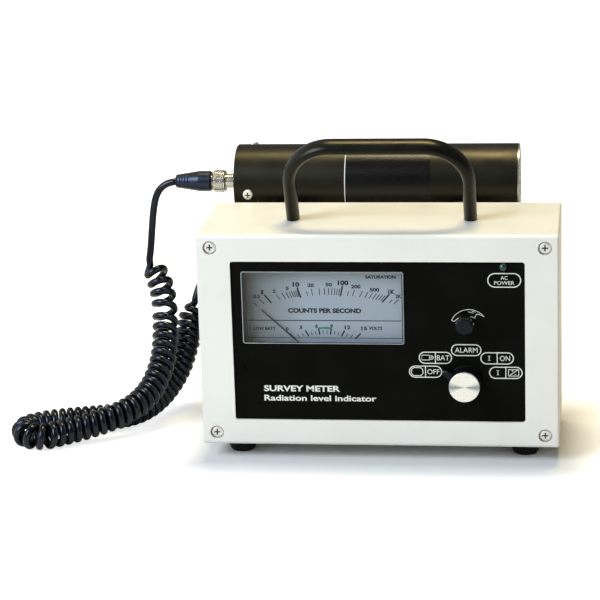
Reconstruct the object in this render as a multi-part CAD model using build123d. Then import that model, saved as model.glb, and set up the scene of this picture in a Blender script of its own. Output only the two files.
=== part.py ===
"""A portable radiation survey meter with a carrying handle, a detector probe and its curly cord.

Millimetres, x to the right, y to the back and z up, with the floor at z = 0.
The origin is on the floor, under the middle of the meter and its probe.
"""

import os
from math import cos, radians, sin, tan

from build123d import *

# Case: its front and rear frames hold the covers, and it stands on four feet.
CASE_WIDTH = 228.6
CASE_HEIGHT = 139.7
CASE_DEPTH = 90.0
FOOT_HEIGHT = 10.0
FRONT = -69.0
REAR = FRONT + CASE_DEPTH
BOTTOM = FOOT_HEIGHT
TOP = BOTTOM + CASE_HEIGHT
MIDDLE_Z = BOTTOM + CASE_HEIGHT / 2
FRAME_DEPTH = 12.0
FRAME_ROUND = 3.0
SIDE_ROUND = 1.5
OPENING_WIDTH = 186.0
OPENING_HEIGHT = 105.2
OPENING_ROUND = 1.8
LIP = 1.5
POCKET_WIDTH = 194.0
POCKET_HEIGHT = 113.2
COVER = 2.2
SIDE_PANEL = 2.8
TONGUE = 1.5
TONGUE_LENGTH = 4.0
FLANGE_DROP = 12.0

# Fasteners: the eight frame screws are in counterbores, driven into four long posts.
FRAME_SCREW_X = 105.5
FRAME_SCREW_MARGIN = 8.35
COUNTERBORE = 4.4
COUNTERBORE_DEPTH = 3.0
# The radius and the height of a pan head.
M4_HEAD = (3.7, 2.3)
M3_HEAD = (3.4, 2.0)
M4 = 2.0
M3 = 1.5
PLAY = 0.05
POST = 4.0

# Handle, a bent oval bar.
HANDLE_HALF_WIDTH = 4.25
HANDLE_HALF_DEPTH = 6.6
HANDLE_HALF_SPAN = 57.15
HANDLE_REACH = 58.0
HANDLE_BEND = 28.0
HANDLE_LEAN = 25.0
HANDLE_Y = FRONT + 43.0
HANDLE_HOLE = 8.0

# Feet.
FOOT_X = 92.3
FOOT_INSET = 22.0
FOOT_TOP = 10.0
FOOT_SOLE = 7.0

# Panels, each seated behind the lip of its frame.
PANEL = 2.5
PANEL_FACE = FRONT + LIP
PANEL_BACK = PANEL_FACE + PANEL
REAR_FACE = REAR - LIP
REAR_BACK = REAR_FACE - PANEL

# Analog meter.
WINDOW_X = -34.75
WINDOW_Z = BOTTOM + 92.0
WINDOW_WIDTH = 103.2
WINDOW_HEIGHT = 47.6
WINDOW_PROUD = 0.8
PIVOT_X = -34.3
PIVOT_Z = BOTTOM + 51.2
METER_WIDTH = 109.0
METER_LOW = BOTTOM + 32.4
METER_HIGH = BOTTOM + 119.5
METER_DEPTH = 36.0
DIAL_Y = FRONT + 9.0
DIAL_WIDTH = 100.4
DIAL_LOW = BOTTOM + 66.8
DIAL_HIGH = BOTTOM + 113.0
DIAL_X = -35.3
NEEDLE_Y = FRONT + 7.6
NEEDLE_LENGTH = 55.0
NEEDLE_REST = 47.3
STAFF = 0.5
COIL_RADIUS = 9.5

# Controls: the selector and the alarm level knob stand one above the other.
CONTROL_X = 55.3
SELECTOR_Z = BOTTOM + 44.7
SELECTOR_RADIUS = 9.9
SELECTOR_FRONT = FRONT - 14.0
SELECTOR_NOSE = 15.6
SELECTOR_REST = 150.0
SELECTOR_SHAFT = 3.0
ALARM_Z = BOTTOM + 82.6
ALARM_RADIUS = 5.4
ALARM_FRONT = FRONT - 9.0
ALARM_SHAFT = 1.6
LED_X = 79.5
LED_Z = BOTTOM + 119.3
LED_RADIUS = 2.5
PLUG_X = -87.8
PLUG_Z = BOTTOM + 50.5

# Rear panel fittings.
SOCKET_X = -80.0
SOCKET_Z = 88.0
INLET_X = 62.0
INLET_Z = 52.0
SPEAKER_X = 0.0
SPEAKER_Z = 62.0
SPEAKER_RADIUS = 20.0

# Probe: a round tube lying behind the case, a little above its top.
PROBE_RADIUS = 25.0
PROBE_WALL = 2.5
PROBE_Y = 52.0
PROBE_Z = 156.6
PROBE_LEFT = -104.3
CAP_SEAM = -100.9
RING_SEAM = 80.5
PROBE_RIGHT = 86.0
CAP_SCREW_X = -94.5
CAP_SCREW_ANGLES = (-8, 112, 232)
LABEL_LEFT = -29.6
LABEL_RIGHT = 27.4
LABEL_THICKNESS = 0.25
SPOT_DEPTH = 0.3

# Cradles that hold the probe, on the rear frame.
CRADLE_XS = (-66.0, 50.0)
CRADLE_WIDTH = 14.0
CRADLE_BORE = 27.3
CRADLE_OUTSIDE = 31.0
PAD_BORE = 25.3
EAR_WIDTH = 36.0
EAR_LOW = 134.5
EAR_HIGH = 148.5
EAR_SCREW_Z = 142.0
EAR_SCREW_OFFSET = 12.8

# Coaxial plug and jack, as distances out from the face that the jack is on.
JACK_RADIUS = 4.8
JACK_END = 9.5
JACK_FLANGE = 6.3
JACK_STEP = 3.0
COLLAR_START = 5.6
COLLAR_END = 14.1
COLLAR_RADIUS = 7.25
BOOT_START = 15.2
BOOT_END = 40.1
BOOT_RADIUS = 6.9
BOOT_TIP = 4.4
LUG_RADIUS = 1.0
LUG_AT = 7.4
LUG_REACH = 6.0
COLLAR_TURN = 90
SLOT_END = 15

# Curly cord: a round cable, straight at both ends and wound into a curl between them.
CABLE = 4.95
CURL = 18.0
FRONT_TAIL = [
    (-147.7, 52, 156.6),
    (-154.4, 52, 156.6),
    (-160.9, 52, 153.9),
    (-165.8, 52, 149),
    (-168.5, 52, 142.5),
    (-169.3, 51.7, 133),
    (-168.6, 50.6, 122),
    (-167.1, 47.8, 110.4),
    (-164, 44, 101),
]
CURL_ROUTE = [
    (-164, 44, 101),
    (-157.5, 36, 81),
    (-153.5, 24, 60),
    (-153.5, 9.5, 41),
    (-159, -8, 27),
    (-168, -25, 20),
    (-182, -35, 15.5),
    (-199, -40.5, 11),
    (-213, -48, 9.4),
    (-225, -57.5, 9.2),
    (-237.5, -53, 9.2),
    (-240, -40, 9.2),
    (-231, -30.5, 9.2),
    (-217, -24, 9.2),
    (-199, -18.5, 9.2),
    (-181, -12.5, 9.2),
    (-168, 1, 9.5),
    (-157.5, 18, 14.5),
    (-148.5, 34.5, 27),
    (-142.5, 47, 44),
    (-140, 55, 61),
    (-137, 63, 75),
]
REAR_TAIL = [
    (-80, 59.6, 88),
    (-80, 66.6, 88),
    (-83, 74.5, 88.2),
    (-88.8, 80.5, 89),
    (-96.5, 84, 90.5),
    (-106, 85, 92.5),
    (-116, 83.5, 94),
    (-125.5, 79.5, 93.5),
    (-132, 74, 90),
    (-135.2, 67.9, 83.5),
    (-137, 63, 75),
]


def facing(x, y, z):
    """A plane that looks out of the front: its own x and y are the world's x and z."""
    return Plane(origin=(x, y, z), x_dir=(1, 0, 0), z_dir=(0, -1, 0))


def slab(outline, x, z, y_front, y_back):
    """An outline, drawn as seen from the front, made solid between two depths."""
    return extrude(facing(x, y_back, z) * outline, y_back - y_front)


def block(x_range, y_range, z_range):
    """A box between two corners."""
    centre = [sum(pair) / 2 for pair in (x_range, y_range, z_range)]
    size = [pair[1] - pair[0] for pair in (x_range, y_range, z_range)]
    return Pos(*centre) * Box(*size)


def rod(radius, start, end):
    """A round rod between two points."""
    along = Vector(*end) - Vector(*start)
    upright = Cylinder(radius, along.length, align=(Align.CENTER, Align.CENTER, Align.MIN))
    return Plane(origin=start, z_dir=along) * upright


def turned(profile, origin, direction):
    """A body of revolution from (radius, distance along the axis) pairs."""
    outline = make_face(Polyline(*[(r, 0, h) for r, h in profile], close=True))
    return Plane(origin=origin, z_dir=direction) * revolve(outline, Axis.Z)


def pan_screw(seat, into, head, height, shank, length):
    """A pan-head screw with a cross recess, its head on seat and its shank driven into the work."""
    top = Pos(0, 0, -height) * Cylinder(head, height, align=(Align.CENTER, Align.CENTER, Align.MIN))
    top = fillet(top.edges().sort_by(Axis.Z)[0], 0.55 * height)
    slot = Box(0.26 * head, 1.1 * head, height)
    recess = Pos(0, 0, -height) * (slot + Rot(0, 0, 90) * slot)
    stem = Cylinder(shank, length, align=(Align.CENTER, Align.CENTER, Align.MIN))
    return Plane(origin=seat, z_dir=into) * (top - recess + stem)


def mirrored_to_rear(part):
    """The same part at the other end of the case."""
    return mirror(part, about=Plane(origin=(0, FRONT + CASE_DEPTH / 2, 0), z_dir=(0, 1, 0)))


def frame_screw_places():
    """The (x, z) places of the frame screws."""
    offset = CASE_HEIGHT / 2 - FRAME_SCREW_MARGIN
    return [(x, MIDDLE_Z + z) for x in (-FRAME_SCREW_X, FRAME_SCREW_X) for z in (-offset, offset)]


def foot_places():
    """The (x, y) places of the feet."""
    return [(x, y) for x in (-FOOT_X, FOOT_X) for y in (FRONT + FOOT_INSET, REAR - FOOT_INSET)]


# ---- Case ----


def front_frame():
    """A deep rounded frame: a lip in front of the panel and a tongue that goes under the covers."""
    body = block((-CASE_WIDTH / 2, CASE_WIDTH / 2), (FRONT, FRONT + FRAME_DEPTH), (BOTTOM, TOP))
    front_face = body.faces().sort_by(Axis.Y)[0]
    body = fillet(front_face.edges().filter_by(Axis.X), FRAME_ROUND)
    for side in (body.faces().sort_by(Axis.X)[0], body.faces().sort_by(Axis.X)[-1]):
        rim = side.edges().filter_by(lambda edge: edge.center().Y < FRONT + FRAME_DEPTH - 0.1)
        body = fillet(rim, SIDE_ROUND)
    opening = RectangleRounded(OPENING_WIDTH, OPENING_HEIGHT, OPENING_ROUND)
    pocket = RectangleRounded(POCKET_WIDTH, POCKET_HEIGHT, OPENING_ROUND)
    body -= slab(opening, 0, MIDDLE_Z, FRONT, FRONT + FRAME_DEPTH)
    body -= slab(pocket, 0, MIDDLE_Z, PANEL_FACE, FRONT + FRAME_DEPTH)
    width = CASE_WIDTH - 2 * (SIDE_PANEL + 0.1)
    height = CASE_HEIGHT - 2 * (COVER + 0.1)
    ring = Rectangle(width, height) - Rectangle(width - 2 * TONGUE, height - 2 * TONGUE)
    tongue_back = FRONT + FRAME_DEPTH + TONGUE_LENGTH
    body += slab(ring, 0, MIDDLE_Z, FRONT + FRAME_DEPTH - 2, tongue_back)
    for x, z in frame_screw_places():
        body -= rod(M4 + 0.2, (x, FRONT, z), (x, FRONT + FRAME_DEPTH, z))
        body -= rod(COUNTERBORE, (x, FRONT, z), (x, FRONT + COUNTERBORE_DEPTH, z))
    return body


def cover(outer_z, inward):
    """A top or bottom cover with a flange turned down along each side; inward is -1 or 1."""
    half = CASE_WIDTH / 2 - SIDE_PANEL
    y_range = (FRONT + FRAME_DEPTH, REAR - FRAME_DEPTH)
    skin = block((-half, half), y_range, sorted((outer_z, outer_z + inward * COVER)))
    clear = TONGUE_LENGTH + 0.3
    flange_y = (y_range[0] + clear, y_range[1] - clear)
    for side in (-1, 1):
        edge = sorted((side * half, side * (half - 1.8)))
        skin += block(edge, flange_y, sorted((outer_z, outer_z + inward * FLANGE_DROP)))
    return skin


def top_cover():
    body = cover(TOP, -1)
    for x in (-HANDLE_HALF_SPAN, HANDLE_HALF_SPAN):
        body -= rod(M4 + PLAY, (x, HANDLE_Y, TOP - COVER), (x, HANDLE_Y, TOP))
    return body


def bottom_cover():
    body = cover(BOTTOM, 1)
    for x, y in foot_places():
        body -= rod(M4 + PLAY, (x, y, BOTTOM), (x, y, BOTTOM + COVER))
    return body


def side_panel(side):
    """A flat panel with rounded long edges; side is -1 on the left and 1 on the right."""
    outer = side * CASE_WIDTH / 2
    inner = side * (CASE_WIDTH / 2 - SIDE_PANEL)
    y_range = (FRONT + FRAME_DEPTH, REAR - FRAME_DEPTH)
    body = block(sorted((outer, inner)), y_range, (BOTTOM, TOP))
    long_edges = body.edges().filter_by(Axis.Y).filter_by(lambda edge: abs(edge.center().X - outer) < 0.1)
    return fillet(long_edges, SIDE_ROUND)


def corner_posts():
    """Four long posts that tie the two frames together."""
    posts = []
    for x, z in frame_screw_places():
        post = rod(POST, (x, FRONT + FRAME_DEPTH, z), (x, REAR - FRAME_DEPTH, z))
        for end, inward in ((FRONT + FRAME_DEPTH, 1), (REAR - FRAME_DEPTH, -1)):
            post -= rod(M4 + PLAY, (x, end, z), (x, end + inward * 11, z))
        posts.append(post)
    return posts


def frame_screws():
    """Eight pan-head screws, four in each frame, sunk in their counterbores."""
    length = FRAME_DEPTH - COUNTERBORE_DEPTH + 9
    screws = []
    for x, z in frame_screw_places():
        seat = (x, FRONT + COUNTERBORE_DEPTH, z)
        screws.append(pan_screw(seat, (0, 1, 0), *M4_HEAD, M4, length))
    return screws + [mirrored_to_rear(screw) for screw in screws]


def carry_handle():
    """An oval bar bent into a bridge that leans forwards, with a blind threaded hole up each leg."""
    buried = 2 * HANDLE_HALF_DEPTH * tan(radians(HANDLE_LEAN))
    loop = Plane(origin=(0, HANDLE_Y, TOP), x_dir=(1, 0, 0), z_dir=(0, -1, 0)).rotated((HANDLE_LEAN, 0, 0))
    corners = [(-HANDLE_HALF_SPAN, -buried), (-HANDLE_HALF_SPAN, HANDLE_REACH)]
    corners += [(HANDLE_HALF_SPAN, HANDLE_REACH), (HANDLE_HALF_SPAN, -buried)]
    path = loop * FilletPolyline(*corners, radius=HANDLE_BEND)
    section = Plane(origin=path @ 0, x_dir=(1, 0, 0), z_dir=path % 0)
    body = sweep(section * Ellipse(HANDLE_HALF_WIDTH, HANDLE_HALF_DEPTH), path=path)
    span = HANDLE_HALF_SPAN + 2 * HANDLE_HALF_WIDTH
    body -= block((-span, span), (HANDLE_Y - 20, HANDLE_Y + 20), (TOP - 20, TOP))
    for x in (-HANDLE_HALF_SPAN, HANDLE_HALF_SPAN):
        body -= rod(M4 + PLAY, (x, HANDLE_Y, TOP), (x, HANDLE_Y, TOP + HANDLE_HOLE))
    return body


def rubber_feet():
    """Four bowl-shaped feet, each with a deep hole for its screw."""
    profile = [(M4 + PLAY, BOTTOM), (FOOT_TOP, BOTTOM), (FOOT_TOP, 7.2), (9.1, 4.0), (FOOT_SOLE + 1, 1.2)]
    profile += [(FOOT_SOLE, 0), (4.2, 0), (4.2, 4.5), (M4 + PLAY, 4.5)]
    return [turned(profile, (x, y, 0), (0, 0, 1)) for x, y in foot_places()]


def m4_screws():
    """The screws of the feet, the handle and the cradles."""
    screws = [pan_screw((x, y, 4.5), (0, 0, 1), *M4_HEAD, M4, 7.5) for x, y in foot_places()]
    for x in (-HANDLE_HALF_SPAN, HANDLE_HALF_SPAN):
        screws.append(pan_screw((x, HANDLE_Y, TOP - COVER), (0, 0, 1), *M4_HEAD, M4, 9))
    for x in cradle_screw_xs():
        screws.append(pan_screw((x, REAR + 3, EAR_SCREW_Z), (0, -1, 0), *M4_HEAD, M4, 12))
    return screws


def rear_frame():
    body = mirrored_to_rear(front_frame())
    for x in cradle_screw_xs():
        body -= rod(M4 + PLAY, (x, REAR, EAR_SCREW_Z), (x, REAR - FRAME_DEPTH, EAR_SCREW_Z))
    return body


# ---- Front panel and meter ----


def front_panel():
    """The black panel with its window, control, lamp and plug holes."""
    outline = RectangleRounded(POCKET_WIDTH - 0.4, POCKET_HEIGHT - 0.4, OPENING_ROUND)
    body = slab(outline, 0, MIDDLE_Z, PANEL_FACE, PANEL_BACK)
    window = RectangleRounded(WINDOW_WIDTH + 0.3, WINDOW_HEIGHT + 0.3, 1.2)
    body -= slab(window, WINDOW_X, WINDOW_Z, PANEL_FACE, PANEL_BACK)
    holes = [(CONTROL_X, SELECTOR_Z, 4.75), (CONTROL_X, ALARM_Z, 3.55)]
    holes += [(LED_X, LED_Z, LED_RADIUS + PLAY), (PLUG_X, PLUG_Z, 2.5)]
    for x, z, radius in holes:
        body -= rod(radius, (x, PANEL_FACE, z), (x, PANEL_BACK, z))
    return body


def meter_window():
    """A clear cover: its bevelled face stands in the panel's window and its flange lies behind."""
    front = PANEL_FACE - WINDOW_PROUD
    face = slab(RectangleRounded(WINDOW_WIDTH, WINDOW_HEIGHT, 1.4), WINDOW_X, WINDOW_Z, front, PANEL_BACK)
    face = chamfer(face.faces().sort_by(Axis.Y)[0].edges(), 0.7)
    flange_height = METER_HIGH - METER_LOW
    flange = Rectangle(METER_WIDTH, flange_height)
    back = PANEL_BACK + 1.5
    body = face + slab(flange, WINDOW_X, METER_LOW + flange_height / 2, PANEL_BACK, back)
    inside = Rectangle(WINDOW_WIDTH - 2.4, WINDOW_HEIGHT - 2.4)
    return body - slab(inside, WINDOW_X, WINDOW_Z, front + 1.6, back)


def meter_housing():
    """The open-fronted box behind the meter's cover."""
    height = METER_HIGH - METER_LOW
    middle = METER_LOW + height / 2
    back = PANEL_BACK + METER_DEPTH
    body = slab(Rectangle(METER_WIDTH, height), WINDOW_X, middle, PANEL_BACK + 1.5, back)
    inside = Rectangle(METER_WIDTH - 4, height - 4)
    body -= slab(inside, WINDOW_X, middle, PANEL_BACK + 1.5, back - 2)
    for side in (-1, 1):
        shelf_x = DIAL_X + side * (DIAL_WIDTH / 2 - 2)
        body += block((shelf_x - 1.5, shelf_x + 1.5), (DIAL_Y + 0.8, back - 2), (DIAL_LOW + 2, DIAL_HIGH - 2))
    return body


def dial_plate():
    height = DIAL_HIGH - DIAL_LOW
    return slab(Rectangle(DIAL_WIDTH, height), DIAL_X, DIAL_LOW + height / 2, DIAL_Y, DIAL_Y + 0.8)


def meter_magnet():
    """The ring magnet round the moving coil."""
    ring = Circle(16.5) - Circle(12)
    return slab(ring, PIVOT_X, PIVOT_Z, FRONT + 15, FRONT + 27)


def meter_core():
    """The soft-iron core inside the moving coil, held at its top and bottom."""
    lug = slab(Rectangle(4, 24), PIVOT_X, PIVOT_Z, FRONT + 18, FRONT + 24)
    core = slab(Circle(7.5), PIVOT_X, PIVOT_Z, FRONT + 16.5, FRONT + 25.5)
    lug &= slab(Circle(12), PIVOT_X, PIVOT_Z, FRONT + 18, FRONT + 24)
    bore = rod(1.2, (PIVOT_X, FRONT + 16, PIVOT_Z), (PIVOT_X, FRONT + 26, PIVOT_Z))
    return core + lug - bore


def meter_bridges():
    """The two bearing bridges, across the front and the back of the magnet."""
    bridges = []
    for near, far, feet in (((12.4, 13.4), 15, 1), ((28.6, 29.6), 27, -1)):
        bar = slab(Rectangle(32, 5), PIVOT_X, PIVOT_Z, FRONT + near[0], FRONT + near[1])
        for side in (-1, 1):
            x = PIVOT_X + side * 14.5
            y_range = sorted((FRONT + near[0 if feet < 0 else 1] - feet * 0.2, FRONT + far))
            bar += block((x - 1.5, x + 1.5), y_range, (PIVOT_Z - 2.5, PIVOT_Z + 2.5))
        bar -= rod(STAFF + PLAY, (PIVOT_X, FRONT + 12, PIVOT_Z), (PIVOT_X, FRONT + 30, PIVOT_Z))
        bridges.append(bar)
    wall = PANEL_BACK + METER_DEPTH - 2
    stem = slab(Circle(6) - Circle(2), PIVOT_X, PIVOT_Z, FRONT + 29.6, wall)
    bridges[1] += stem
    return bridges


def meter_hairspring():
    """A flat spiral of half turns, clear of the staff, with its outer end on the bridge."""
    half_turns = []
    radius, step, side = 1.3, 0.35, 1
    centre = 0.0
    for _ in range(8):
        start = centre + side * radius
        half_turns.append((centre, radius, side))
        radius += step
        centre = start - side * radius
        side = -side
    spiral = Sketch()
    for middle, size, way in half_turns:
        arc = CenterArc((middle, 0), size, 0 if way > 0 else 180, 180)
        spiral += trace(arc, 0.25)
    end_x = centre + side * radius
    strip = slab(spiral, PIVOT_X, PIVOT_Z, FRONT + 11, FRONT + 11.6)
    post = rod(0.5, (PIVOT_X + end_x, FRONT + 11, PIVOT_Z), (PIVOT_X + end_x, FRONT + 12.4, PIVOT_Z))
    return strip + post


def about_pivot(part, degrees):
    """The part turned about the needle's staff, anticlockwise as seen from the front."""
    axis = Axis((PIVOT_X, 0, PIVOT_Z), (0, -1, 0))
    return part.rotate(axis, degrees)


def pointer():
    """A fine tapered needle with its hub, tail and counterweight."""
    back = NEEDLE_Y + 0.35
    outline = Polygon((-0.5, 0), (0.5, 0), (0.3, NEEDLE_LENGTH), (-0.3, NEEDLE_LENGTH), align=None)
    outline += Polygon((-0.4, -9), (0.4, -9), (0.4, 0), (-0.4, 0), align=None)
    outline += Circle(2.2) + Pos(0, -9) * Circle(1.6)
    needle = slab(outline, PIVOT_X, PIVOT_Z, NEEDLE_Y, back)
    hub = rod(1.0, (PIVOT_X, NEEDLE_Y, PIVOT_Z), (PIVOT_X, FRONT + 9.8, PIVOT_Z))
    return about_pivot(needle, NEEDLE_REST) + hub


def meter_coil():
    """The moving coil: a rectangular frame round the core, on a staff that runs in the bridges."""
    side, long = COIL_RADIUS, 5.6
    middle_y = FRONT + 21
    frame = Box(2 * side + 1.4, 2 * long + 1.6, 6) - Box(2 * side - 1.4, 2 * long - 1.0, 7)
    frame = Pos(PIVOT_X, middle_y, PIVOT_Z) * frame
    coil = about_pivot(frame, NEEDLE_REST)
    front_staff = rod(STAFF, (PIVOT_X, FRONT + 9.8, PIVOT_Z), (PIVOT_X, middle_y - long, PIVOT_Z))
    rear_staff = rod(STAFF, (PIVOT_X, middle_y + long, PIVOT_Z), (PIVOT_X, FRONT + 29.4, PIVOT_Z))
    return coil + front_staff + rear_staff


# ---- Controls ----


def selector_knob():
    """A round knob with a pointer nose, hollow round its bush and recessed for its cap."""
    base = PANEL_FACE - 0.4
    profile = [(0, 0), (10.6, 0), (10.6, 1.4), (SELECTOR_RADIUS, 3.0), (SELECTOR_RADIUS, 14.1), (0, 14.1)]
    body = turned(profile, (CONTROL_X, base, SELECTOR_Z), (0, -1, 0))
    nose = Polygon((6, -4.2), (SELECTOR_NOSE, -0.7), (SELECTOR_NOSE, 0.7), (6, 4.2), align=None)
    nose_back = base - 1.4
    wedge = slab(Rot(0, 0, SELECTOR_REST) * nose, CONTROL_X, SELECTOR_Z, nose_back - 8.5, nose_back)
    body += wedge
    body -= rod(8.2, (CONTROL_X, base, SELECTOR_Z), (CONTROL_X, base - 3.6, SELECTOR_Z))
    body -= rod(SELECTOR_SHAFT, (CONTROL_X, base, SELECTOR_Z), (CONTROL_X, base - 10, SELECTOR_Z))
    return body


def selector_cap():
    """The turned metal cap on the knob."""
    back = PANEL_FACE - 14.5
    thickness = back - SELECTOR_FRONT
    profile = [(0, 0), (9.7, 0), (9.7, thickness - 0.4), (9.3, thickness), (0, thickness)]
    return turned(profile, (CONTROL_X, back, SELECTOR_Z), (0, -1, 0))


def selector_shaft():
    base = PANEL_FACE - 0.4
    return rod(SELECTOR_SHAFT, (CONTROL_X, FRONT + 22, SELECTOR_Z), (CONTROL_X, base - 10, SELECTOR_Z))


def selector_switch():
    """The rotary switch: its threaded bush comes through the panel and its wafers lie behind."""
    at = (CONTROL_X, PANEL_BACK, SELECTOR_Z)
    body = turned([(0, 0), (13, 0), (13, 6), (7, 6), (7, 10), (15, 10), (15, 12), (0, 12)], at, (0, 1, 0))
    wafer = rod(15, (CONTROL_X, PANEL_BACK + 18, SELECTOR_Z), (CONTROL_X, PANEL_BACK + 20, SELECTOR_Z))
    body += wafer
    for side in (-1, 1):
        x = CONTROL_X + side * 11
        body += rod(1.5, (x, PANEL_BACK + 11, SELECTOR_Z), (x, PANEL_BACK + 19, SELECTOR_Z))
    body += rod(4.7, (CONTROL_X, PANEL_FACE - 2.4, SELECTOR_Z), at)
    bore_end = (CONTROL_X, PANEL_BACK + 20, SELECTOR_Z)
    return body - rod(SELECTOR_SHAFT + PLAY, (CONTROL_X, PANEL_FACE - 3, SELECTOR_Z), bore_end)


def alarm_knob():
    """A small round knob with an index line."""
    base = PANEL_FACE - 3.0
    height = base - ALARM_FRONT
    profile = [(0, 0), (ALARM_RADIUS, 0), (ALARM_RADIUS, height - 0.8), (ALARM_RADIUS - 0.8, height)]
    profile.append((0, height))
    body = turned(profile, (CONTROL_X, base, ALARM_Z), (0, -1, 0))
    body -= rod(ALARM_SHAFT, (CONTROL_X, base, ALARM_Z), (CONTROL_X, base - 5, ALARM_Z))
    index = Pos(0, ALARM_RADIUS / 2 + 0.6) * Rectangle(0.8, ALARM_RADIUS - 1.2)
    return body - slab(Rot(0, 0, 145) * index, CONTROL_X, ALARM_Z, ALARM_FRONT, ALARM_FRONT + 0.3)


def alarm_shaft():
    end = (CONTROL_X, PANEL_FACE - 8.0, ALARM_Z)
    return rod(ALARM_SHAFT, (CONTROL_X, PANEL_BACK + 9, ALARM_Z), end)


def alarm_pot():
    """The potentiometer behind the alarm knob."""
    back = PANEL_BACK + 11
    body = rod(8.3, (CONTROL_X, PANEL_BACK, ALARM_Z), (CONTROL_X, back, ALARM_Z))
    body += rod(3.5, (CONTROL_X, PANEL_FACE - 2.4, ALARM_Z), (CONTROL_X, PANEL_BACK, ALARM_Z))
    body += block((CONTROL_X - 6, CONTROL_X + 6), (PANEL_BACK + 4, PANEL_BACK + 6), (ALARM_Z - 14, ALARM_Z))
    bore_start = (CONTROL_X, PANEL_FACE - 3, ALARM_Z)
    return body - rod(ALARM_SHAFT + PLAY, bore_start, (CONTROL_X, back - 1, ALARM_Z))


def bush_nuts():
    """The hexagon nuts on the switch's and the potentiometer's threaded bushes."""
    nuts = []
    for z, radius, bore in ((SELECTOR_Z, 7.2, 4.7), (ALARM_Z, 5.8, 3.5)):
        outline = RegularPolygon(radius, 6) - Circle(bore + PLAY)
        nuts.append(slab(outline, CONTROL_X, z, PANEL_FACE - 2.0, PANEL_FACE))
    return nuts


def power_led():
    """A domed lamp with a rim behind the panel and two leads."""
    body = rod(LED_RADIUS, (LED_X, FRONT + 0.4, LED_Z), (LED_X, PANEL_BACK + 3, LED_Z))
    body += Pos(LED_X, FRONT + 0.4, LED_Z) * Sphere(LED_RADIUS)
    body += rod(2.9, (LED_X, PANEL_BACK, LED_Z), (LED_X, PANEL_BACK + 1, LED_Z))
    for side in (-1.27, 1.27):
        x = LED_X + side
        body += rod(0.25, (x, PANEL_BACK + 2, LED_Z), (x, PANEL_BACK + 12, LED_Z))
    return body


def panel_plug():
    """A small button plug in a spare hole of the panel."""
    body = rod(2.45, (PLUG_X, PANEL_FACE, PLUG_Z), (PLUG_X, PANEL_BACK, PLUG_Z))
    return body + turned([(0, 0), (3.0, 0), (2.6, 0.5), (0, 0.6)], (PLUG_X, PANEL_FACE, PLUG_Z), (0, -1, 0))


# ---- Inside the case ----

BOARD_X = (-30.0, 92.0)
BOARD_Y = (FRONT + 19.0, FRONT + 74.0)
BOARD_Z = BOTTOM + 10.0
BOARD_THICKNESS = 1.6
BOARD_TOP = BOARD_Z + BOARD_THICKNESS
BATTERY_X = -68.0
CELL_RADIUS = 7.0
TRAY_WALL = 1.2


def board_corners():
    return [(x, y) for x in (BOARD_X[0] + 5, BOARD_X[1] - 5) for y in (BOARD_Y[0] + 5, BOARD_Y[1] - 5)]


def circuit_board():
    body = block(BOARD_X, BOARD_Y, (BOARD_Z, BOARD_TOP))
    for x, y in board_corners():
        body -= rod(M3, (x, y, BOARD_Z), (x, y, BOARD_TOP))
    return body


def board_standoffs():
    floor = BOTTOM + COVER
    return [rod(3, (x, y, floor), (x, y, BOARD_Z)) for x, y in board_corners()]


def board_components():
    """The high-voltage converter, capacitors, chips and trimmers on the board."""
    parts = [block((-22, -4), (FRONT + 48, FRONT + 66), (BOARD_TOP, BOARD_TOP + 15))]
    for i in range(4):
        x = 66 + 7.5 * i
        parts.append(rod(3.2, (x - 2, FRONT + 30, BOARD_TOP), (x - 2, FRONT + 30, BOARD_TOP + 11)))
    for i in range(3):
        x = -24 + 13 * i
        parts.append(block((x, x + 7), (FRONT + 23, FRONT + 42), (BOARD_TOP, BOARD_TOP + 3.5)))
    for i in range(2):
        x = 66 + 11 * i
        parts.append(block((x, x + 8), (FRONT + 42, FRONT + 49), (BOARD_TOP, BOARD_TOP + 6)))
    return parts


def mains_transformer():
    """A laminated core with its bobbin through the middle."""
    core = block((22, 60), (FRONT + 38, FRONT + 58), (BOARD_TOP, BOARD_TOP + 32))
    bobbin = block((29, 53), (FRONT + 33, FRONT + 63), (BOARD_TOP + 6, BOARD_TOP + 26))
    return core + bobbin


def battery_places():
    """The (x, z) places of the six cells, in two layers of three."""
    first = BOTTOM + COVER + TRAY_WALL + CELL_RADIUS + PLAY
    pitch = 2 * CELL_RADIUS + 0.2
    return [(BATTERY_X + pitch * (i - 1), first + pitch * layer) for layer in (0, 1) for i in range(3)]


def battery_holder():
    """An open tray round the cells."""
    half = 3 * CELL_RADIUS + 1.5
    floor = BOTTOM + COVER
    outer_x = (BATTERY_X - half - TRAY_WALL, BATTERY_X + half + TRAY_WALL)
    outer = block(outer_x, (FRONT + 17, FRONT + 74), (floor, floor + 22))
    inner_y = (FRONT + 17 + TRAY_WALL, FRONT + 74 - TRAY_WALL)
    return outer - block((BATTERY_X - half, BATTERY_X + half), inner_y, (floor + TRAY_WALL, floor + 23))


def battery_cells():
    cells = []
    for x, z in battery_places():
        cell = rod(CELL_RADIUS, (x, FRONT + 20, z), (x, FRONT + 69, z))
        cells.append(cell + rod(2.7, (x, FRONT + 69, z), (x, FRONT + 70.5, z)))
    return cells


def alarm_speaker():
    """A small loudspeaker behind the rear panel's sound holes."""
    profile = [(0, 10), (0, 20), (11, 20), (11, 10), (16, 3), (SPEAKER_RADIUS, 3), (SPEAKER_RADIUS, 0)]
    profile += [(18, 0), (14.5, 3), (6, 9)]
    return turned(profile, (SPEAKER_X, REAR_BACK, SPEAKER_Z), (0, -1, 0))


# ---- Rear panel ----


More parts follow.
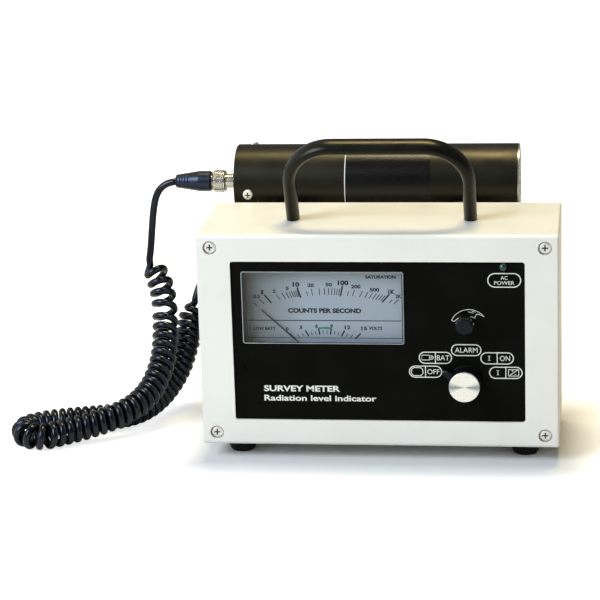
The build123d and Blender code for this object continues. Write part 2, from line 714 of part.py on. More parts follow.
def rear_panel():
    """The black rear panel with its socket, power inlet and sound holes."""
    outline = RectangleRounded(POCKET_WIDTH - 0.4, POCKET_HEIGHT - 0.4, OPENING_ROUND)
    body = slab(outline, 0, MIDDLE_Z, REAR_BACK, REAR_FACE)
    body -= rod(4.85, (SOCKET_X, REAR_BACK, SOCKET_Z), (SOCKET_X, REAR_FACE, SOCKET_Z))
    body -= slab(Rectangle(27.4, 20.0), INLET_X, INLET_Z, REAR_BACK, REAR_FACE)
    sound_holes = Circle(1.3)
    for ring, count in ((6, 6), (12, 12)):
        for place in PolarLocations(ring, count):
            sound_holes += place * Circle(1.3)
    return body - slab(sound_holes, SPEAKER_X, SPEAKER_Z, REAR_BACK, REAR_FACE)


def power_inlet():
    """A three-pin appliance inlet that snaps into the rear panel."""
    x, z = INLET_X, INLET_Z
    body = slab(Rectangle(27.2, 19.8), x, z, REAR_BACK - 18, REAR_FACE)
    body += slab(RectangleRounded(31, 23.5, 2), x, z, REAR_FACE, REAR_FACE + 2)
    body -= slab(Polygon(*inlet_outline(), align=None), x, z, REAR_FACE - 15.5, REAR_FACE + 2)
    for dx, dz in ((-7, -1.5), (7, -1.5), (0, 2.5)):
        body += block((x + dx - 1, x + dx + 1), (REAR_FACE - 16, REAR_FACE - 1), (z + dz - 2, z + dz + 2))
    return body


def inlet_outline():
    """The mouth of the inlet: a wide opening with its two upper corners cut off."""
    half_width, half_height, cut = 12.2, 8.2, 4.5
    upper = [(half_width, half_height - cut), (half_width - cut, half_height)]
    lower = [(-half_width, -half_height), (half_width, -half_height)]
    return lower + upper + [(-half_width + cut, half_height), (-half_width, half_height - cut)]


def jack(face, out, wall, step=0):
    """A panel jack: shell with two bayonet lugs, insulator, nut inside the wall and a flange if stepped."""
    plane = Plane(origin=face, z_dir=out)
    shell = [(JACK_RADIUS - 0.8, -wall - 6), (JACK_RADIUS, -wall - 6), (JACK_RADIUS, JACK_END)]
    shell += [(JACK_RADIUS - 0.7, JACK_END), (JACK_RADIUS - 0.7, 2), (JACK_RADIUS - 0.8, 2)]
    body = turned(shell, face, out)
    if step:
        flange = [(JACK_RADIUS - 0.5, -step), (JACK_FLANGE, -step), (JACK_FLANGE, 0), (JACK_RADIUS - 0.5, 0)]
        body += turned(flange, face, out)
    for side in (-1, 1):
        lug = plane * Pos(0, 0, LUG_AT) * Rot(side * 90, 0, 0) * Pos(0, 0, JACK_RADIUS - 0.4)
        height = LUG_REACH - JACK_RADIUS + 0.4
        pin = Cylinder(LUG_RADIUS, height, align=(Align.CENTER, Align.CENTER, Align.MIN))
        body += lug * pin
    core = [(0, -wall - 8), (JACK_RADIUS - 0.85, -wall - 8), (JACK_RADIUS - 0.85, 2), (2.2, 2)]
    core += [(2.2, 8.6), (0, 8.6)]
    nut = extrude(RegularPolygon(7, 6) - Circle(JACK_RADIUS + PLAY), 2.2)
    return [body, turned(core, face, out), plane * Pos(0, 0, -wall - 2.2) * nut]


def plug_body(face, out):
    """The plug's own body: a sleeve inside the jack, a flange under the collar and a neck."""
    profile = [(2.4, 2.6), (JACK_RADIUS - 0.9, 2.6), (JACK_RADIUS - 0.9, 9.8), (5.9, 9.8), (5.9, 11.6)]
    profile += [(4.5, 11.6), (4.5, 19), (0, 19), (0, 10), (2.4, 10)]
    return turned(profile, face, out)


def plug_collar(face, out):
    """The bayonet collar, with its two slots let into the wall."""
    profile = [(5.1, COLLAR_START), (COLLAR_RADIUS - 0.5, COLLAR_START), (COLLAR_RADIUS, COLLAR_START + 0.6)]
    profile += [(COLLAR_RADIUS, COLLAR_END - 0.6), (COLLAR_RADIUS - 0.6, COLLAR_END), (4.8, COLLAR_END)]
    profile += [(4.8, 12.0), (6.2, 12.0), (6.2, 9.3), (5.1, 9.3)]
    body = turned(profile, face, out)
    plane = Plane(origin=face, z_dir=out)
    half = LUG_RADIUS + 0.3
    ring = Circle(LUG_REACH + 0.3) - Circle(4.9)
    for side in (0, 180):
        start = side + 90
        sector = Rot(0, 0, start) * slot_sector(-COLLAR_TURN - SLOT_END, SLOT_END)
        groove = extrude(ring & sector, 2 * half)
        body -= plane * Pos(0, 0, LUG_AT - half) * groove
        mouth = Rot(0, 0, start - COLLAR_TURN) * (ring & slot_sector(-SLOT_END, SLOT_END))
        body -= plane * Pos(0, 0, COLLAR_START - 0.1) * extrude(mouth, LUG_AT - COLLAR_START)
    return body


def slot_sector(start, end):
    """A wide wedge from the origin between two angles."""
    reach = 12
    middle = (start + end) / 2
    spokes = [(reach * cos(radians(a)), reach * sin(radians(a))) for a in (start, middle, end)]
    return Polygon((0, 0), *spokes, align=None)


def plug_boot(face, out):
    """The boot over the back of the plug: a ribbed taper that ends round the cable."""
    profile = [(4.55, BOOT_START), (BOOT_RADIUS - 0.8, BOOT_START), (BOOT_RADIUS, BOOT_START + 1.2)]
    profile += [(BOOT_RADIUS, 24.0)]
    ribs_start, rib, groove = 31.0, 1.1, 0.8
    slope = (BOOT_TIP - BOOT_RADIUS) / (BOOT_END - 24.0)
    for i in range(5):
        at = ribs_start + i * (rib + groove)
        radius = BOOT_RADIUS + slope * (at - 24.0)
        profile += [(radius, at), (radius - 0.6, at), (radius - 0.6, at + groove), (radius, at + groove)]
    profile += [(BOOT_TIP, BOOT_END - 0.4), (BOOT_TIP - 0.4, BOOT_END), (0, BOOT_END)]
    profile += [(0, 19.2), (4.55, 19.2)]
    return turned(profile, face, out)


# ---- Probe ----


def probe_tube():
    """The probe's body tube, with a spot face for each of its three screws."""
    body = rod(PROBE_RADIUS, (CAP_SEAM, PROBE_Y, PROBE_Z), (RING_SEAM, PROBE_Y, PROBE_Z))
    bore = PROBE_RADIUS - PROBE_WALL
    body -= rod(bore, (CAP_SEAM, PROBE_Y, PROBE_Z), (RING_SEAM, PROBE_Y, PROBE_Z))
    for out in cap_screw_directions():
        body -= rod(M3 + PLAY, along(out, 20), along(out, 26))
        body -= rod(3.7, along(out, PROBE_RADIUS - SPOT_DEPTH), along(out, 26))
    return body


def cap_screw_directions():
    return [(0, -cos(radians(angle)), sin(radians(angle))) for angle in CAP_SCREW_ANGLES]


def along(direction, distance):
    """A point at a distance from the probe's axis, at the cap screws."""
    return (CAP_SCREW_X, PROBE_Y + distance * direction[1], PROBE_Z + distance * direction[2])


def probe_cap_screws():
    seat = PROBE_RADIUS - SPOT_DEPTH
    inwards = [(0, -out[1], -out[2]) for out in cap_screw_directions()]
    seats = [along(out, seat) for out in cap_screw_directions()]
    return [pan_screw(at, into, *M3_HEAD, M3, 6) for at, into in zip(seats, inwards)]


def probe_end_cap():
    """The cap that carries the jack, with a spigot inside the tube."""
    thickness = CAP_SEAM - PROBE_LEFT
    spigot = PROBE_RADIUS - PROBE_WALL - PLAY
    profile = [(4.85, 0), (PROBE_RADIUS - 0.8, 0), (PROBE_RADIUS, 0.8), (PROBE_RADIUS, thickness)]
    profile += [(spigot, thickness), (spigot, 16), (spigot - 3.5, 16), (spigot - 3.5, thickness)]
    profile.append((4.85, thickness))
    body = turned(profile, (PROBE_LEFT, PROBE_Y, PROBE_Z), (1, 0, 0))
    for out in cap_screw_directions():
        body -= rod(M3 + PLAY, along(out, 15), along(out, 24))
    return body


def probe_window_ring():
    """The ring that holds the window guard, with a spigot inside the tube."""
    spigot = PROBE_RADIUS - PROBE_WALL - PLAY
    depth = PROBE_RIGHT - 0.9 - RING_SEAM
    profile = [(20.5, -7), (spigot, -7), (spigot, 0), (PROBE_RADIUS, 0), (PROBE_RADIUS, depth), (20.5, depth)]
    return turned(profile, (RING_SEAM, PROBE_Y, PROBE_Z), (1, 0, 0))


def probe_window_guard():
    """A bright perforated disc that protects the detector's window."""
    holes = Sketch()
    pitch = 6.4
    for row in range(-3, 4):
        count = 7 - abs(row)
        for i in range(count):
            holes += Pos((i - (count - 1) / 2) * pitch, row * pitch * sin(radians(60))) * Circle(2.6)
    disc = Circle(PROBE_RADIUS - 0.3) - holes
    return extrude(Plane(origin=(PROBE_RIGHT - 0.9, PROBE_Y, PROBE_Z), z_dir=(1, 0, 0)) * disc, 0.9)


def detector_tube():
    """The end-window counting tube with its contact pin."""
    profile = [(0, 0), (2, 0), (2, 8), (15, 10), (16, 12), (16, 100), (0, 100)]
    return turned(profile, (RING_SEAM - 98, PROBE_Y, PROBE_Z), (1, 0, 0))


def detector_mounts():
    """Two soft rings that centre the detector in the tube."""
    rings = []
    for x in (2, 52):
        profile = [(16 + PLAY, 0), (22.4, 0), (22.4, 9), (16 + PLAY, 9)]
        rings.append(turned(profile, (x, PROBE_Y, PROBE_Z), (1, 0, 0)))
    return rings


def probe_label():
    """A glossy label wrapped round the middle of the tube."""
    profile = [(PROBE_RADIUS, LABEL_LEFT), (PROBE_RADIUS + LABEL_THICKNESS, LABEL_LEFT)]
    profile += [(PROBE_RADIUS + LABEL_THICKNESS, LABEL_RIGHT), (PROBE_RADIUS, LABEL_RIGHT)]
    return turned(profile, (0, PROBE_Y, PROBE_Z), (1, 0, 0))


# ---- Cradles ----


def cradle_screw_xs():
    return [x + side * EAR_SCREW_OFFSET for x in CRADLE_XS for side in (-1, 1)]


def cradle_outline(inner, outer):
    """A saddle as seen from the left: y and z about the probe's axis."""
    ring = Circle(outer) - Circle(inner)
    front_height = outer + EAR_HIGH - PROBE_Z
    front_half = Pos(-outer, front_height / 2 - outer) * Rectangle(2 * outer, front_height)
    rear_half = Pos(outer, -outer / 2) * Rectangle(2 * outer, outer)
    return ring & (front_half + rear_half)


def across(outline, x, width):
    """An outline in the probe's cross-section, made solid across a width centred on x."""
    plane = Plane(origin=(x - width / 2, PROBE_Y, PROBE_Z), x_dir=(0, 1, 0), z_dir=(1, 0, 0))
    return extrude(plane * outline, width)


def probe_cradles():
    """Two open saddles, each with an ear plate screwed to the rear frame."""
    cradles = []
    for x in CRADLE_XS:
        body = across(cradle_outline(CRADLE_BORE, CRADLE_OUTSIDE), x, CRADLE_WIDTH)
        ear_x = (x - EAR_WIDTH / 2, x + EAR_WIDTH / 2)
        body += block(ear_x, (REAR, REAR + 3), (EAR_LOW, EAR_HIGH))
        body -= rod(CRADLE_BORE, (x - EAR_WIDTH, PROBE_Y, PROBE_Z), (x + EAR_WIDTH, PROBE_Y, PROBE_Z))
        for side in (-1, 1):
            screw_x = x + side * EAR_SCREW_OFFSET
            body -= rod(M4 + PLAY, (screw_x, REAR, EAR_SCREW_Z), (screw_x, REAR + 3, EAR_SCREW_Z))
        cradles.append(body)
    return cradles


def cradle_pads():
    """The rubber linings of the two saddles."""
    return [across(cradle_outline(PAD_BORE, CRADLE_BORE), x, CRADLE_WIDTH) for x in CRADLE_XS]


# ---- Cord ----


def bend_radii(route):
    """For each corner, the largest radius that its two runs allow, but for a tenth."""
    points = [Vector(*point) for point in route]
    radii = []
    for before, here, after in zip(points, points[1:], points[2:]):
        run = min((here - before).length, (after - here).length)
        turn = (here - before).get_angle(after - here)
        radii.append(0.45 * run / tan(radians(turn / 2)))
    return radii


def hose(name, route, diameter):
    """A round tube along straight runs joined by arcs."""
    radii = bend_radii(route)
    path = FilletPolyline(*route, radius=radii)
    body = sweep(Plane(origin=path @ 0, z_dir=path % 0) * Circle(diameter / 2), path=path)
    filled = body.volume / (Circle(diameter / 2).area * path.length)
    print(f"{name}: length {path.length:.1f}, volume over section times length {filled:.4f}")
    print("  radii", [round(radius, 1) for radius in radii])
    return body


def build():
    """Every piece, by node name."""
    probe_face, probe_out = (PROBE_LEFT - JACK_STEP, PROBE_Y, PROBE_Z), (-1, 0, 0)
    rear_face, rear_out = (SOCKET_X, REAR_FACE, SOCKET_Z), (0, 1, 0)
    single = [front_frame, rear_frame, top_cover, bottom_cover, corner_posts, frame_screws, carry_handle]
    single += [rubber_feet, m4_screws, front_panel, rear_panel, meter_window, meter_housing, dial_plate]
    single += [meter_magnet, meter_core, meter_bridges, meter_hairspring, pointer, meter_coil]
    single += [selector_knob, selector_cap, selector_shaft, selector_switch, alarm_knob, alarm_shaft]
    single += [alarm_pot, bush_nuts, power_led, panel_plug, circuit_board, board_standoffs]
    single += [board_components, mains_transformer, battery_holder, battery_cells, alarm_speaker]
    single += [power_inlet, probe_tube, probe_cap_screws, probe_end_cap, probe_window_ring]
    single += [probe_window_guard, detector_tube, detector_mounts, probe_label, probe_cradles, cradle_pads]
    parts = {make.__name__: make() for make in single}
    parts["side_panels"] = [side_panel(-1), side_panel(1)]
    parts["probe_socket"] = jack(probe_face, probe_out, CAP_SEAM - PROBE_LEFT + JACK_STEP, JACK_STEP)
    parts["rear_socket"] = jack(rear_face, rear_out, PANEL)
    for name, face, out in (("probe", probe_face, probe_out), ("rear", rear_face, rear_out)):
        parts[f"{name}_plug_body"] = plug_body(face, out)
        parts[f"{name}_plug_collar"] = plug_collar(face, out)
        parts[f"{name}_plug_boot"] = plug_boot(face, out)
    parts["front_cord_tail"] = hose("front_cord_tail", FRONT_TAIL, CABLE)
    parts["rear_cord_tail"] = hose("rear_cord_tail", REAR_TAIL, CABLE)
    parts["curly_cord"] = hose("curly_cord", CURL_ROUTE, CURL)
    return parts


os.makedirs("parts", exist_ok=True)
for node, shape in build().items():
    if isinstance(shape, list):
        shape = Compound(children=shape)
    export_step(shape, f"parts/{node}.step")
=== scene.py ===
"""The looks of a portable survey meter with a carrying handle, a probe and a curly cord.

Metres, x to the right, y to the back and z up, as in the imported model.
"""

import math

import bmesh
import bpy
from mathutils import Matrix, Vector
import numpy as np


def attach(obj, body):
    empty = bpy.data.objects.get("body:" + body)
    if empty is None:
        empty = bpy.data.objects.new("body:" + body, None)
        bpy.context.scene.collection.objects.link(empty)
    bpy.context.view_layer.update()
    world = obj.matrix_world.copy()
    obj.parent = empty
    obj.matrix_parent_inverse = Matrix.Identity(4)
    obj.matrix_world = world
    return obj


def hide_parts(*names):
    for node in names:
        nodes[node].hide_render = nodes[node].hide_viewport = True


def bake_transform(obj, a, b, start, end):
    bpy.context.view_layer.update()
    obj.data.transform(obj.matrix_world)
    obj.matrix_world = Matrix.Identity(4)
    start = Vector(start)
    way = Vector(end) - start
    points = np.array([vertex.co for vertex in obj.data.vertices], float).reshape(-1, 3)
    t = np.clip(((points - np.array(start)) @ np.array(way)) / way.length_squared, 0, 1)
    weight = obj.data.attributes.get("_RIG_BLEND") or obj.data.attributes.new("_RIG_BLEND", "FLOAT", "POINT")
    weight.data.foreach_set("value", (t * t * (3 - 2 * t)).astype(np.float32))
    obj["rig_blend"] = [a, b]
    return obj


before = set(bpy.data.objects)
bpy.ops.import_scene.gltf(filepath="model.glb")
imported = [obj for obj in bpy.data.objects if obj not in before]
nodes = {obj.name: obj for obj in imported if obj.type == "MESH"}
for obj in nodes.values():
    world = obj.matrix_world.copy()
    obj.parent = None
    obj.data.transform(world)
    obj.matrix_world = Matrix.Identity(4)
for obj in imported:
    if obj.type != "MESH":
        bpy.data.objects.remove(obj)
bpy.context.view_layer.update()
scene = bpy.context.scene

MM = 0.001

# ---- Places on the model, in mm ----

BOTTOM = 10.0
FRONT = -69.0
REAR = 21.0
PANEL_FACE = FRONT + 1.5
COVER_FACE = PANEL_FACE - 0.8
DIAL_FACE = FRONT + 9.0
KNOB_X = 55.3
SELECTOR_Z = 54.7
PROBE_Y = 52
PROBE_Z = 156.6
PROBE_RADIUS = 25.0
CAP_SCREW_X = -94.5
CAP_SCREW_ANGLES = (-8, 112, 232)
LABEL_LEFT = -29.6
FRAME_SCREW_XS = (-105.5, 105.5)
FRAME_SCREW_ZS = (18.35, 141.35)
# The places that the plugs' collars are measured from.
PROBE_PLUG_FACE = (-107.3, PROBE_Y, PROBE_Z)
REAR_PLUG_FACE = (-80, 19.5, 88)

# ---- Camera ----

CAMERA_PLACE = (0.1410, -1.4778, 0.5128)
CAMERA_AZIMUTH = math.radians(7.67)
CAMERA_ELEVATION = math.radians(15.915)
CAMERA_ROLL = math.radians(-1.85)
LENS = 140.2


def make_camera():
    """The camera, turned by azimuth, elevation and roll."""
    azimuth, elevation, roll = CAMERA_AZIMUTH, CAMERA_ELEVATION, CAMERA_ROLL
    back = Vector((math.sin(azimuth), -math.cos(azimuth), math.tan(elevation))).normalized()
    right = Vector((0, 0, 1)).cross(back).normalized()
    up = back.cross(right)
    level_right, level_up = right.copy(), up.copy()
    right = level_right * math.cos(roll) + level_up * math.sin(roll)
    up = level_up * math.cos(roll) - level_right * math.sin(roll)
    data = bpy.data.cameras.new("camera")
    data.lens = LENS
    data.sensor_width = 36
    data.clip_start = 0.05
    data.clip_end = 100
    camera = bpy.data.objects.new("camera", data)
    scene.collection.objects.link(camera)
    turn = Matrix((right, up, back)).transposed().to_4x4()
    camera.matrix_world = Matrix.Translation(CAMERA_PLACE) @ turn
    scene.camera = camera


make_camera()

# ---- Materials ----


class Shader:
    """A material built up node by node round one Principled shader."""

    def __init__(self, name, **sockets):
        self.material = bpy.data.materials.new(name)
        self.material.use_nodes = True
        self.tree = self.material.node_tree
        self.base = next(n for n in self.tree.nodes if n.type == "BSDF_PRINCIPLED")
        for socket, value in sockets.items():
            self.base.inputs[socket.replace("_", " ")].default_value = value
        self.place = self.add("ShaderNodeTexCoord").outputs["Object"]
        self.bumps = None

    def add(self, kind, settings=None, **inputs):
        """A node, with settings on it and values or links on its inputs."""
        node = self.tree.nodes.new(kind)
        for name, value in (settings or {}).items():
            setattr(node, name, value)
        for name, value in inputs.items():
            numbered = name[0] == "i" and name[1:].isdigit()
            socket = node.inputs[int(name[1:]) if numbered else name.replace("_", " ")]
            if isinstance(value, bpy.types.NodeSocket):
                self.tree.links.new(value, socket)
            else:
                socket.default_value = value
        return node

    def drive(self, socket, value):
        """Links a node's output to a socket of the Principled shader."""
        self.tree.links.new(value, self.base.inputs[socket])

    def noise(self, scale, detail=3.0, roughness=0.5, stretch=None):
        """Noise from 0 to 1, its scale in features a metre."""
        place = self.place
        if stretch:
            place = self.add("ShaderNodeMapping", Vector=place, Scale=stretch).outputs[0]
        made = self.add("ShaderNodeTexNoise", Vector=place, Scale=scale, Detail=detail, Roughness=roughness)
        return made.outputs[0]

    def spread(self, value, low, high, source=(0.3, 0.7)):
        """The value mapped from its source range to low and high."""
        made = self.add("ShaderNodeMapRange", Value=value)
        settings = {"From Min": source[0], "From Max": source[1], "To Min": low, "To Max": high}
        for name, number in settings.items():
            made.inputs[name].default_value = number
        return made.outputs[0]

    def mix(self, share, first, second):
        """A colour between two; each of the three is a value or a link."""
        made = self.add("ShaderNodeMix", {"data_type": "RGBA"})
        for index, value in ((0, share), (6, first), (7, second)):
            if isinstance(value, bpy.types.NodeSocket):
                self.tree.links.new(value, made.inputs[index])
            else:
                made.inputs[index].default_value = value if index == 0 else (*value, 1.0)
        return made.outputs[2]

    def maths(self, operation, first, second=0.0):
        """The result of one sum on one or two values or links."""
        return self.add("ShaderNodeMath", {"operation": operation}, i0=first, i1=second).outputs[0]

    def bump(self, height, distance, strength=1.0):
        """Adds a relief of that height, in metres, to the ones before it."""
        made = self.add("ShaderNodeBump", Height=height, Distance=distance, Strength=strength)
        if self.bumps:
            self.tree.links.new(self.bumps, made.inputs["Normal"])
        self.bumps = made.outputs[0]
        self.drive("Normal", self.bumps)

    def tinted(self, first, second, scale, detail=3.0):
        """A base colour that wanders between two shades."""
        share = self.spread(self.noise(scale, detail), 0.0, 1.0, (0.35, 0.65))
        self.drive("Base Color", self.mix(share, first, second))

    def rough(self, low, high, scale):
        """A roughness that wanders between two values."""
        self.drive("Roughness", self.spread(self.noise(scale, 4.0), low, high))


def cream_paint():
    """Thick cream powder coat with an orange-peel skin and a little grime."""
    s = Shader("cream_paint", Coat_Weight=0.25, Coat_Roughness=0.18, Specular_IOR_Level=0.5)
    base = s.mix(s.spread(s.noise(16), 0.0, 1.0), (0.80, 0.785, 0.735), (0.84, 0.83, 0.785))
    specks = s.spread(s.noise(420, 2.0), 0.0, 0.25, (0.70, 0.80))
    base = s.mix(specks, base, (0.52, 0.47, 0.38))
    grime = s.spread(s.noise(30, 6.0, 0.65), 0.0, 0.30, (0.56, 0.80))
    height = s.add("ShaderNodeSeparateXYZ", Vector=s.place).outputs["Z"]
    near_floor = s.spread(height, 1.0, 0.25, (0.010, 0.045))
    s.drive("Base Color", s.mix(s.maths("MULTIPLY", grime, near_floor), base, (0.55, 0.50, 0.41)))
    s.rough(0.30, 0.44, 60)
    s.bump(s.noise(1150, 2.0, 0.45), 0.00011, 0.55)
    s.bump(s.noise(160, 2.0), 0.0003, 0.10)
    return s.material


def panel_film():
    """Near-black satin overlay with a fine grain."""
    s = Shader("panel_film", Specular_IOR_Level=0.035)
    s.tinted((0.0026, 0.0029, 0.0021), (0.0038, 0.0041, 0.0031), 40)
    s.rough(0.34, 0.48, 90)
    s.bump(s.noise(3800, 2.0), 0.00003, 0.5)
    return s.material


def black_anodised():
    """Satin black anodising over turned aluminium."""
    s = Shader("black_anodised", Specular_IOR_Level=0.32, Specular_Tint=(1.0, 0.91, 0.66, 1.0))
    s.tinted((0.0030, 0.0031, 0.0029), (0.0050, 0.0050, 0.0046), 35)
    s.rough(0.32, 0.42, 70)
    s.bump(s.noise(2600, 3.0), 0.00004, 0.5)
    s.bump(s.noise(2200, 2.0, stretch=(12, 0.4, 0.4)), 0.00003, 0.35)
    return s.material


def gloss_black():
    """Thick black plastic coating on the handle."""
    s = Shader("handle_coat", Specular_IOR_Level=0.22, Specular_Tint=(1.0, 0.93, 0.70, 1.0))
    s.tinted((0.0030, 0.0031, 0.0030), (0.0048, 0.0048, 0.0046), 30)
    s.rough(0.24, 0.34, 60)
    s.bump(s.noise(700, 2.0), 0.00006, 0.25)
    return s.material


def rubber():
    """Dull black rubber, slightly browner where it is paler."""
    s = Shader("rubber", Specular_IOR_Level=0.16)
    shade = 0.0042
    s.tinted((shade, shade, shade), (shade * 1.7, shade * 1.65, shade * 1.6), 80, 5.0)
    s.rough(0.55, 0.72, 150)
    s.bump(s.noise(1800, 4.0), 0.00008, 0.5)
    return s.material


def cable_jacket():
    """Glossy black PVC with the faint waviness of drawn cable."""
    s = Shader("cable_jacket", Specular_IOR_Level=0.42, Specular_Tint=(0.66, 0.74, 1.0, 1.0))
    s.tinted((0.0020, 0.0021, 0.0026), (0.0034, 0.0036, 0.0044), 60)
    s.rough(0.15, 0.25, 120)
    s.bump(s.noise(420, 2.0), 0.00010, 0.12)
    return s.material


def moulded_black(name="moulded_black", shade=0.0035, roughness=(0.20, 0.30), coat=0.3, gloss=0.10):
    """Moulded black plastic with a bluish sheen under a thin clear skin."""
    s = Shader(name, Specular_IOR_Level=gloss, Specular_Tint=(0.50, 0.60, 1.0, 1.0), Coat_Weight=coat,
               Coat_Roughness=0.14, Coat_IOR=1.18)
    s.tinted((shade, shade, shade * 1.08), (shade * 1.5, shade * 1.5, shade * 1.55), 70)
    s.rough(*roughness, 140)
    s.bump(s.noise(1600, 3.0), 0.00003, 0.4)
    return s.material


def bright_metal(name, first, second, roughness, scratch=0.3, stretch=(1, 1, 1), metallic=1.0):
    """Plated or turned metal, with faint scratches along one way."""
    s = Shader(name, Metallic=metallic)
    s.tinted(first, second, 220, 4.0)
    s.rough(*roughness, 300)
    s.bump(s.noise(2600, 3.0, stretch=stretch), 0.00004, scratch)
    return s.material


def spun_aluminium():
    """Spun aluminium face with painted reflections: two bright fans and two dark wedges round the knob's
    axis, painted into its colour in place of the spun sheen.
    """
    s = Shader("spun_aluminium", Metallic=0.45, Anisotropic=0.6, Specular_IOR_Level=0.5)
    axis = s.add("ShaderNodeTangent", {"direction_type": "RADIAL", "axis": "Y"})
    s.drive("Tangent", axis.outputs[0])
    # Painted reflection: bright fans above and below the axis, dark wedges to its left and right.
    parts = s.add("ShaderNodeSeparateXYZ", Vector=s.place)
    across = s.maths("SUBTRACT", parts.outputs["X"], KNOB_X * MM)
    high = s.maths("SUBTRACT", parts.outputs["Z"], SELECTOR_Z * MM)
    angle = s.maths("ARCTAN2", high, across)
    painted_fan_mask = s.maths("ABSOLUTE", s.maths("SINE", angle))
    painted_fan_tone = s.spread(painted_fan_mask, 0.0, 1.0, (0.04, 0.42))
    s.drive("Base Color", s.mix(painted_fan_tone, (0.30, 0.33, 0.36), (0.92, 0.90, 0.84)))
    s.rough(0.26, 0.34, 900)
    return s.material


def printed(name, colour, shade):
    """Screen-printed ink, slightly uneven."""
    s = Shader(name, Specular_IOR_Level=0.12)
    s.tinted(colour, shade, 900, 4.0)
    s.rough(0.42, 0.60, 500)
    s.bump(s.noise(3000, 2.0), 0.00001, 0.3)
    return s.material


def dial_card():
    """Matt dial card, with a painted shadow that darkens and yellows its left end, where the bezel shades
    it.
    """
    s = Shader("dial_card", Specular_IOR_Level=0.25)
    across = s.add("ShaderNodeSeparateXYZ", Vector=s.place).outputs["X"]
    # Painted shadow: towards its left end the card fades to a dark olive, standing in for the bezel's shade.
    share = s.spread(across, 0.0, 1.0, (-0.092, -0.046))
    colour = s.mix(share, (0.058, 0.050, 0.022), (0.41, 0.43, 0.45))
    s.drive("Base Color", s.mix(s.spread(s.noise(900, 4.0), 0.0, 0.10), colour, (0.34, 0.36, 0.38)))
    s.rough(0.55, 0.70, 300)
    s.bump(s.noise(2400, 3.0), 0.00002, 0.4)
    return s.material


def clear_cover():
    """Clear moulded plastic, glossy on its outside only: a ray that leaves it isn't mirrored back in."""
    material = bpy.data.materials.new("clear_cover")
    material.use_nodes = True
    tree = material.node_tree
    tree.nodes.clear()
    output = tree.nodes.new("ShaderNodeOutputMaterial")
    clear = tree.nodes.new("ShaderNodeBsdfTransparent")
    clear.inputs["Color"].default_value = (0.94, 0.97, 1.0, 1.0)
    gloss = tree.nodes.new("ShaderNodeBsdfGlossy")
    gloss.inputs["Roughness"].default_value = 0.04
    fresnel = tree.nodes.new("ShaderNodeFresnel")
    fresnel.inputs["IOR"].default_value = 1.49
    facing = tree.nodes.new("ShaderNodeNewGeometry")
    outer = tree.nodes.new("ShaderNodeMath")
    outer.operation = "SUBTRACT"
    outer.inputs[0].default_value = 1.0
    outer_gloss = tree.nodes.new("ShaderNodeMath")
    outer_gloss.operation = "MULTIPLY"
    mix = tree.nodes.new("ShaderNodeMixShader")
    tree.links.new(facing.outputs["Backfacing"], outer.inputs[1])
    tree.links.new(fresnel.outputs[0], outer_gloss.inputs[0])
    tree.links.new(outer.outputs[0], outer_gloss.inputs[1])
    tree.links.new(outer_gloss.outputs[0], mix.inputs[0])
    tree.links.new(clear.outputs[0], mix.inputs[1])
    tree.links.new(gloss.outputs[0], mix.inputs[2])
    tree.links.new(mix.outputs[0], output.inputs["Surface"])
    return material


def pebbled_label():
    """Glossy black label with a pebbled skin."""
    s = Shader("pebbled_label", Specular_IOR_Level=0.30)
    s.tinted((0.0022, 0.0022, 0.0018), (0.0036, 0.0036, 0.0030), 150)
    s.rough(0.17, 0.25, 300)
    s.bump(s.noise(1400, 2.0), 0.00024, 0.6)
    return s.material


def lamp_lens():
    """Dark green moulded lens."""
    s = Shader("lamp_lens", Specular_IOR_Level=0.5, Coat_Weight=0.5, Coat_Roughness=0.03)
    s.tinted((0.002, 0.036, 0.026), (0.003, 0.055, 0.040), 300)
    s.rough(0.08, 0.14, 500)
    return s.material


def coloured_plastic(name, first, second, roughness=(0.4, 0.55), scale=120):
    """Moulded plastic or lacquer that wanders between two shades."""
    s = Shader(name, Specular_IOR_Level=0.45)
    s.tinted(first, second, scale, 4.0)
    s.rough(*roughness, 200)
    s.bump(s.noise(1500, 3.0), 0.00005, 0.4)
    return s.material


PAINT = cream_paint()
PANEL = panel_film()
ANODISED = black_anodised()
HANDLE = gloss_black()
RUBBER = rubber()
JACKET = cable_jacket()
KNOB = moulded_black(gloss=0.25)
BOOT = moulded_black("boot_black", 0.0040, (0.30, 0.40), 0.15, 0.75)
NICKEL = bright_metal("nickel", (0.74, 0.71, 0.64), (0.66, 0.63, 0.56), (0.14, 0.26), 0.35)
STEEL = bright_metal("screw_steel", (0.90, 0.89, 0.84), (0.78, 0.77, 0.72), (0.34, 0.46), 0.3, metallic=0.55)
TURNED = bright_metal("turned_steel", (0.58, 0.58, 0.58), (0.50, 0.50, 0.50), (0.25, 0.35), 0.3)
RIM = bright_metal("bright_ring", (0.52, 0.54, 0.56), (0.44, 0.46, 0.48), (0.24, 0.34), 0.3)
BRASS = bright_metal("brass", (0.72, 0.52, 0.24), (0.62, 0.44, 0.19), (0.22, 0.34), 0.3)
COPPER = bright_metal("copper_wire", (0.62, 0.27, 0.12), (0.48, 0.20, 0.09), (0.28, 0.40), 0.5)
IRON = bright_metal("magnet_iron", (0.30, 0.30, 0.31), (0.22, 0.22, 0.23), (0.35, 0.50), 0.4)
CAP = spun_aluminium()
WHITE_INK = printed("white_ink", (0.84, 0.84, 0.80), (0.72, 0.72, 0.69))
BLACK_INK = printed("black_ink", (0.005, 0.006, 0.007), (0.010, 0.012, 0.013))
# Painted shade for the inside of the screws' cross recesses.
PAINTED_RECESS_SHADE = coloured_plastic("recess_shade", (0.020, 0.019, 0.016), (0.045, 0.042, 0.036), (0.6, 0.8), 500)
GREEN_INK = printed("green_ink", (0.020, 0.235, 0.130), (0.028, 0.29, 0.165))
CARD = dial_card()
